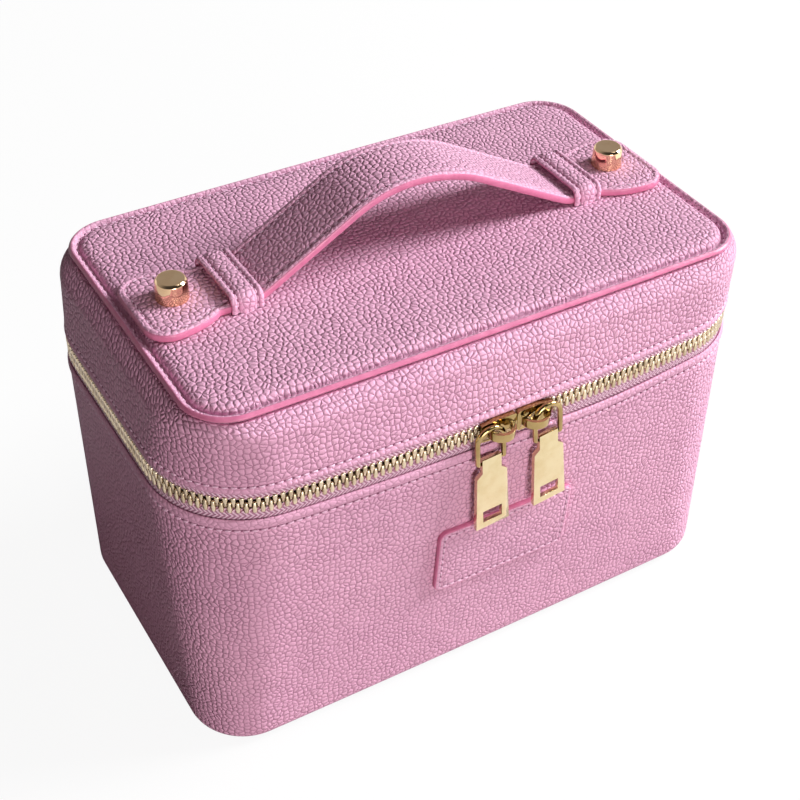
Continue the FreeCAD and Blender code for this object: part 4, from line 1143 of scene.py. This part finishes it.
def strap_outline(step=1.6):
    """Outline of the strap laid flat, anticlockwise: (run from the apex, y).

    From the hip the edge swells from half the strap's width to half the tab's on a circle that
    meets the tab square, and turns round the tab's corner on a quarter circle.
    """
    hip, swell, corner, half, tab = 8.6, 25.5, 8.5, 13.0, 18.0
    radius = ((swell - hip) ** 2 + (tab - half) ** 2) / (2 * (tab - half))
    angle = np.linspace(np.arcsin((swell - hip) / radius), 0, 14)
    arc_x, arc_y = swell - radius * np.sin(angle), tab - radius * (1 - np.cos(angle))
    angle = np.linspace(0, np.pi / 2, 12)[1:]
    end_x, end_y = swell + corner * np.sin(angle), tab - corner * (1 - np.cos(angle))
    end_x = np.append(end_x, np.full(3, end_x[-1]))
    end_y = np.append(end_y, end_y[-1] * np.array([0.66, 0.33, 0]))
    x, y = np.concatenate([arc_x, end_x]), np.concatenate([arc_y, end_y])
    # the right tab is a little longer than the left one
    right = hip + 1.03 * (x - hip) + LIFT[1]
    left = -(hip + 0.96 * (x - hip) + LIFT[-1])
    between = np.linspace(left[0], right[0], int((right[0] - left[0]) / step))[1:-1]
    upper = np.concatenate([
        np.stack([right, y], axis=-1)[::-1],
        np.stack([between, np.full(len(between), half)], axis=-1)[::-1],
        np.stack([left, y], axis=-1),
    ])
    # the strap lies a little nearer the front, so its back half is narrower
    return np.concatenate([upper * [1, 0.93], (upper * [1, -1])[-2:0:-1]])


def inward(outline):
    """Directions into a closed flat outline that runs anticlockwise, square to it at each point."""
    ahead = np.roll(outline, -1, axis=0) - outline
    ahead /= np.linalg.norm(ahead, axis=1)[:, None]
    both = ahead + np.roll(ahead, 1, axis=0)
    both /= np.linalg.norm(both, axis=1)[:, None]
    return np.stack([-both[:, 1], both[:, 0]], axis=-1)


def edge_band(outline, profile):
    """Closed rows round the edge of a cut piece: the distance in and the height of each row."""
    gaps, heights = np.array(profile, float).T
    return at_height(outline + gaps[:, None, None] * inward(outline), heights)


def cut_sheet(outline, profile, fill=5):
    """Flat piece of leather: (x, y, height) rows from its middle line over its edge and back.

    The profile gives the distance in from the outline and the height of each row at the edge.
    """
    rings = edge_band(outline, [row[:2] for row in profile])
    return np.concatenate([line_fill(rings[0], fill)[::-1], rings, line_fill(rings[-1], fill)])


def leather_piece(name, body, outline, profile, place, material, node, fill=5):
    """Cut sheet bent into its place; the third value of a profile's row is its press."""
    # a third value above 1 is painted shade, darkening a groove
    rows = cut_sheet(outline, profile, fill)
    edge_press_and_shade = [row[2] if len(row) > 2 else 1.0 for row in profile]
    press_and_shade = np.concatenate([np.zeros(fill), edge_press_and_shade, np.ones(fill)])
    faces = grid(*rows.shape[:2])
    made = make(name, place(rows), faces, material, laid_flat(rows, faces), weld=True, press_and_shade=press_and_shade)
    if body:
        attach(made, body)
    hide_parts(node)
    return made


def painted(name, body, outline, profile, place):
    """Painted edge bent into its place."""
    made = swept(name, place(edge_band(outline, profile)), edge_paint)
    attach(made, body)


def seam_line(outline, gap, height, place):
    """Line for stitches on a cut sheet, so far in from its edge, with its normals."""
    flat = outline + gap * inward(outline)
    line = place(np.concatenate([flat, np.full((len(flat), 1), height)], axis=-1))
    above = place(np.concatenate([flat, np.full((len(flat), 1), height + 1.0)], axis=-1))
    return line, above - line, True


strap = strap_outline()
# rows of a cut piece: distance in from its edge, height, and press where it isn't 1
# a press above 1 is painted shade in the stitch groove
strap_face = [
    (4.6, 0.1, 0.0), (3.5, 0.06, 0.1), (3.0, -0.06, 0.6), (2.65, -0.3, 1.6), (2.4, -0.33, 1.8),
    (2.1, -0.1, 1.1), (1.7, 0.08, 0.8), (1.2, 0.13, 0.7), (0.7, 0.05, 0.8), (0.3, -0.16), (0.06, -0.45),
    (0.1, -1.38), (1.2, -1.38), (3.0, -1.38),
]
leather_piece("handle_strap_leather", "lid", strap, strap_face, on_strap, leather,
              "handle_strap")
strap_back = [(3.0, -1.42), (0.1, -1.42), (0.1, -2.4), (0.3, -2.65), (0.8, -2.8), (3.0, -2.8)]
leather_piece("handle_lining_leather", "lid", strap, strap_back, on_strap, leather,
              "handle_lining")
strap_paint = [
    (0.3, -0.24), (0.12, -0.26), (-0.04, -0.42), (-0.15, -0.8), (-0.2, -1.4), (-0.15, -2.0), (-0.04, -2.4),
    (0.12, -2.62), (0.4, -2.72), (0.6, -2.4), (0.6, -0.5),
]
painted("handle_edge_paint", "lid", strap, strap_paint, on_strap)
strap_seam = seam_line(strap, 2.5, -0.28, on_strap)
strap_stitches = stitched("handle_stitches", [strap_seam], "lid", pitch=3.0, length=2.2, radius=0.26)


# ---------------------------------------------------------------- keepers
# A short band of leather over the strap on each side, sewn and painted along both its edges.
# Its ends go down through slits in the lid.
def keeper_place(middle):
    """Place on a keeper from (run over it from its middle, across, height above its outside)."""
    outer, top, corner, bottom = 14.3, 152.2, 3.4, 142.8
    flat = outer - corner
    turn = corner * np.pi / 2

    def place(places):
        run, across, height = np.moveaxis(np.asarray(places, float), -1, 0)
        far = np.abs(run)
        angle = np.clip((far - flat) / corner, 0, np.pi / 2)
        reach = np.minimum(far, flat) + (corner + height) * np.sin(angle)
        z = top - corner + (corner + height) * np.cos(angle) - np.clip(far - flat - turn, 0, None)
        return np.stack([middle + across, np.sign(run) * reach, z], axis=-1)

    return place, flat + turn + (top - corner - bottom)


def banded(run, section):
    """Rows of (run, across, height): the same section at each place along a band."""
    return np.concatenate([
        np.broadcast_to(run[:, None, None], (len(run), len(section), 1)),
        np.broadcast_to(section, (len(run),) + section.shape),
    ], axis=-1)


# painted shade for the gaps of the slits where the keepers go down into the lid
slit_shade = shaded_leather("slit_shade", "7a4a63", "64394f")
# half section of the band: across from its middle, and height; it is mirrored and closed
rib = np.array([
    (0.0, 0.4), (1.2, 0.38), (2.0, 0.28), (2.55, 0.08), (2.95, -0.2), (3.2, -0.48), (3.5, -0.5),
    (3.75, -0.2), (4.05, 0.06), (4.45, 0.16), (4.9, 0.08), (5.25, -0.12), (5.48, -0.36), (5.5, -0.7),
    (5.4, -0.98), (5.1, -1.1), (2.5, -1.1),
])
section = np.concatenate([rib, rib[:0:-1] * [-1, 1]])
# the grain is pressed flat towards the two grooves, and a press of 2 paints shade into their bottoms
section_press_and_shade = np.interp(np.abs(section[:, 0]), [1.8, 2.6, 3.3, 3.45, 4.0], [0.1, 0.9, 2.0, 2.0, 0.8])
keeper_paint = np.array([(5.3, -0.42), (5.52, -0.44), (5.6, -0.56), (5.6, -0.82), (5.52, -0.96), (5.3, -1.0)])
seam_across, seam_height = 3.4, -0.42
flat_half, slit_half, slit_inner, slit_outer = 9.0, 5.85, 12.95, 14.62
for side, node in ((-1, "keeper_left"), (1, "keeper_right")):
    middle = 0.5 + side * 65.0
    place, reach = keeper_place(middle)
    run = np.concatenate([
        np.linspace(-reach, -flat_half, 22),
        np.linspace(-flat_half, flat_half, 12)[1:-1],
        np.linspace(flat_half, reach, 22),
    ])
    rows = banded(run, section)
    points, faces = loft(place(rows))
    pressed = np.tile(section_press_and_shade, len(run))
    made = make(node + "_leather", points, faces, leather, laid_flat(rows, faces), press_and_shade=pressed)
    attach(made, "lid")
    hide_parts(node)
    for edge_side, end in ((-1, "outer"), (1, "inner")):
        points, faces = loft(place(banded(run, keeper_paint * [edge_side, 1])))
        made = make(node + "_" + end + "_edge_paint", points, faces, edge_paint)
        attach(made, "lid")
    lines = []
    for across in (-seam_across, seam_across):
        row = np.linspace(2.4 - reach, reach - 2.4, 60)
        level = np.stack([row, np.full(60, across), np.full(60, seam_height)], axis=-1)
        line = place(level)
        lines.append((line, place(level + [0, 0, 1.0]) - line, False))
    made = stitched(node + "_stitches", lines, "lid", pitch=2.8, length=2.0, radius=0.24)
    # the slits in the lid: a dark box round each foot of the band, painted shade for the gap
    for front, end in ((-1, "front"), (1, "back")):
        corner_x = middle + slit_half * np.array([-1, 1, 1, -1])
        corner_y = front * np.array([slit_inner, slit_inner, slit_outer, slit_outer])
        box = np.stack([np.stack([corner_x, corner_y, np.full(4, z)], axis=-1) for z in (145.2, 146.04)])
        points, faces = loft(box)
        made = make(node + "_" + end + "_slit_shadow", points, faces, slit_shade)
        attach(made, "lid")


# ---------------------------------------------------------------- studs
# Turned brass studs hold the tabs: a plain cap with a small chamfer, on a barrel through the lid,
# held from inside by a wide screw.
def turned(name, x, profile, material, node, steps=64):
    """Turned piece on an upright axis at x: (radius, height) from the top or bottom of its axis."""
    angle = np.arange(steps) * 2 * np.pi / steps
    radii, heights = np.array(profile, float).T
    flat = radii[:, None, None] * np.stack([np.cos(angle), np.sin(angle)], axis=-1) + [x, 0]
    rings = at_height(flat, heights)
    made = make(name, rings, grid(*rings.shape[:2]), material, weld=True)
    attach(made, "lid")
    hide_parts(node)


# warm gold plate polished to a mirror
mirror_gold = plated("mirror_gold", "f2cfa6", "ecc69c", roughness=0.04)
stud = [
    (0, 156.3), (1.5, 156.3), (3.0, 156.3), (4.1, 156.3), (4.3, 156.28), (4.42, 156.2), (4.92, 155.62),
    (5.02, 155.5), (5.08, 155.3), (5.42, 149.5), (5.45, 149.3), (5.4, 149.1), (5.2, 149.0), (2.5, 148.96),
    (2.5, 139.7), (0, 139.7),
]
screw = [
    (0, 138.0), (3.8, 138.0), (5.1, 138.1), (5.4, 138.3), (5.5, 138.6), (5.5, 139.35), (5.4, 139.5),
    (1.5, 139.5), (1.5, 148.8), (0, 148.8),
]
for x, label in ((-83.9, "left"), (83.3, "right")):
    turned("stud_" + label, x, stud, mirror_gold, "handle_studs")
    turned("stud_screw_" + label, x, screw, pale_gold, "stud_screws")


# ---------------------------------------------------------------- front patch
# A plain leather patch on the front, a little tilted, sewn through close to its painted edge.
# It follows the shallow bow of the wall.
def bow_place(z, x, height, front):
    """Points on the bowed front or back wall at a level x and height z, so far out from the leather.

    The wall's rings run in equal shares of each bow, so the share is found from x in five passes.
    """
    z, x, height = np.broadcast_arrays(z, x, height)
    lower = z < zip_z
    rows = np.where(lower[..., None], FOOT, ZIP), np.where(lower[..., None], ZIP, SHOULDER)
    part = np.where(lower, (z - foot_z) / (zip_z - foot_z), (z - zip_z) / (shoulder_z - zip_z))
    share = x / 80.0
    for _ in range(5):
        found = []
        for row in rows:
            width, depth, corner, bow = np.moveaxis(row, -1, 0)
            half_chord = width / 2 - corner
            radius = (half_chord**2 + bow**2) / (2 * bow)
            rise = np.sqrt((radius - corner) ** 2 - half_chord**2)
            angle = share * (np.pi / 2 - np.arctan2(rise, half_chord))
            found.append((radius * np.sin(angle), depth / 2 - radius * (1 - np.cos(angle))))
        reach = found[0][0] * (1 - part) + found[1][0] * part
        share = np.where(np.abs(reach) > 1e-9, share * x / np.where(np.abs(reach) > 1e-9, reach, 1), share)
    y = found[0][1] * (1 - part) + found[1][1] * part + height
    return np.stack([x, -y if front else y, z], axis=-1)


def on_front(places):
    """Places on the patch: (across, up, height above its outer face)."""
    across, up, height = np.moveaxis(np.asarray(places, float), -1, 0)
    tilt, middle_x, middle_z, thick = np.radians(1.2), 2.5, 58.8, 2.15
    x = middle_x + across * np.cos(tilt) + up * np.sin(tilt)
    z = middle_z + up * np.cos(tilt) - across * np.sin(tilt)
    return bow_place(z, x, thick + height, True)


def rectangle(half_x, half_y, corner, step=1.0):
    """Rectangle with rounded corners, anticlockwise, its sides cut into equal steps."""
    angle = np.linspace(0, np.pi / 2, 7)
    flat_x, flat_y = half_x - corner, half_y - corner
    arc = np.stack([flat_x + corner * np.cos(angle), flat_y + corner * np.sin(angle)], axis=-1)
    top = np.linspace(flat_x, -flat_x, int(2 * flat_x / step) + 2)[1:-1]
    side = np.linspace(flat_y, -flat_y, int(2 * flat_y / step) + 2)[1:-1]
    return np.concatenate([
        arc,
        np.stack([top, np.full(len(top), half_y)], axis=-1),
        arc[::-1] * [-1, 1],
        np.stack([np.full(len(side), -half_x), side], axis=-1),
        -arc,
        np.stack([-top, np.full(len(top), -half_y)], axis=-1),
        arc[::-1] * [1, -1],
        np.stack([np.full(len(side), half_x), -side], axis=-1),
    ])


patch = rectangle(26.75, 14.2, 3.0)
# a press above 1 is painted shade in the stitch groove
patch_face = [
    (3.4, 0.04, 0.0), (2.6, 0.0, 0.2), (2.1, -0.16, 1.0), (1.8, -0.38, 1.8), (1.55, -0.36, 1.8),
    (1.3, -0.14, 1.0), (0.95, 0.0, 0.8), (0.5, -0.08), (0.15, -0.34), (0.1, -0.6), (0.1, -2.0), (1.0, -2.1),
    (3.4, -2.1),
]
leather_piece("front_patch_leather", "case", patch, patch_face, on_front, leather,
              "front_patch")
patch_paint = [
    (0.3, -0.26), (0.1, -0.3), (-0.06, -0.46), (-0.14, -0.8), (-0.14, -1.6), (-0.04, -2.05), (0.5, -2.1),
    (0.6, -1.0),
]
painted("front_patch_edge_paint", "case", patch, patch_paint, on_front)
patch_seam = seam_line(patch, 1.7, -0.1, on_front)
patch_stitches = stitched("front_patch_stitches", [patch_seam], "case", pitch=2.9, length=2.1, radius=0.26)


# ---------------------------------------------------------------- hinge
# A strip of the same leather bridges the zip line at the back, sewn to body and lid, with a strip
# of the lining inside.
hinge_z = 112.6


def on_back(places):
    """Places on the outer hinge strip: (across, up from its middle, height above its face)."""
    across, up, height = np.moveaxis(np.asarray(places, float), -1, 0)
    return bow_place(hinge_z + up, -across, 1.05 + height, False)


def inside_back(places):
    """Places on the inner hinge strip, whose face is towards the inside."""
    across, up, height = np.moveaxis(np.asarray(places, float), -1, 0)
    return bow_place(hinge_z + up, across, -4.2 - height, False)


hinge = rectangle(70.0, 13.7, 1.5, step=1.4)
# a press above 1 is painted shade in the stitch groove
hinge_face = [
    (4.0, 0.0, 0.0), (3.0, 0.0, 0.2), (2.5, -0.05), (2.1, -0.2, 1.8), (1.7, -0.05), (1.1, 0.0, 0.8),
    (0.5, -0.08), (0.12, -0.3), (0.0, -0.55), (0.1, -0.85), (0.6, -1.0), (4.0, -1.0),
]
strip = leather_piece("hinge_strip_leather", None, hinge, hinge_face, on_back, leather,
                      "hinge_strip", fill=14)
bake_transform(strip)
cloth = rectangle(64.0, 13.7, 1.0, step=1.4)
cloth_edge = [(2.0, 0.0), (1.2, 0.02), (0.5, -0.03), (0.0, -0.3), (0.4, -0.55), (2.0, -0.6)]
cloth_strip = leather_piece("hinge_lining_cloth", None, cloth, cloth_edge, inside_back, lining_cloth,
                            "hinge_lining", fill=14)
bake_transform(cloth_strip)

# one row of stitches along the strip's lower edge, on the body, and one along its upper, on the lid
seam_outline = hinge + 2.1 * inward(hinge)
for body, side, label in (("case", -1, "lower"), ("lid", 1, "upper")):
    part = seam_outline[side * seam_outline[:, 1] > 9]
    part = part[np.argsort(part[:, 0])]
    flat = np.concatenate([part, np.full((len(part), 1), -0.15)], axis=-1)
    line, above = on_back(flat), on_back(flat + [0, 0, 1.0])
    made = stitched("hinge_stitches_" + label, [(line, above - line, False)], body)
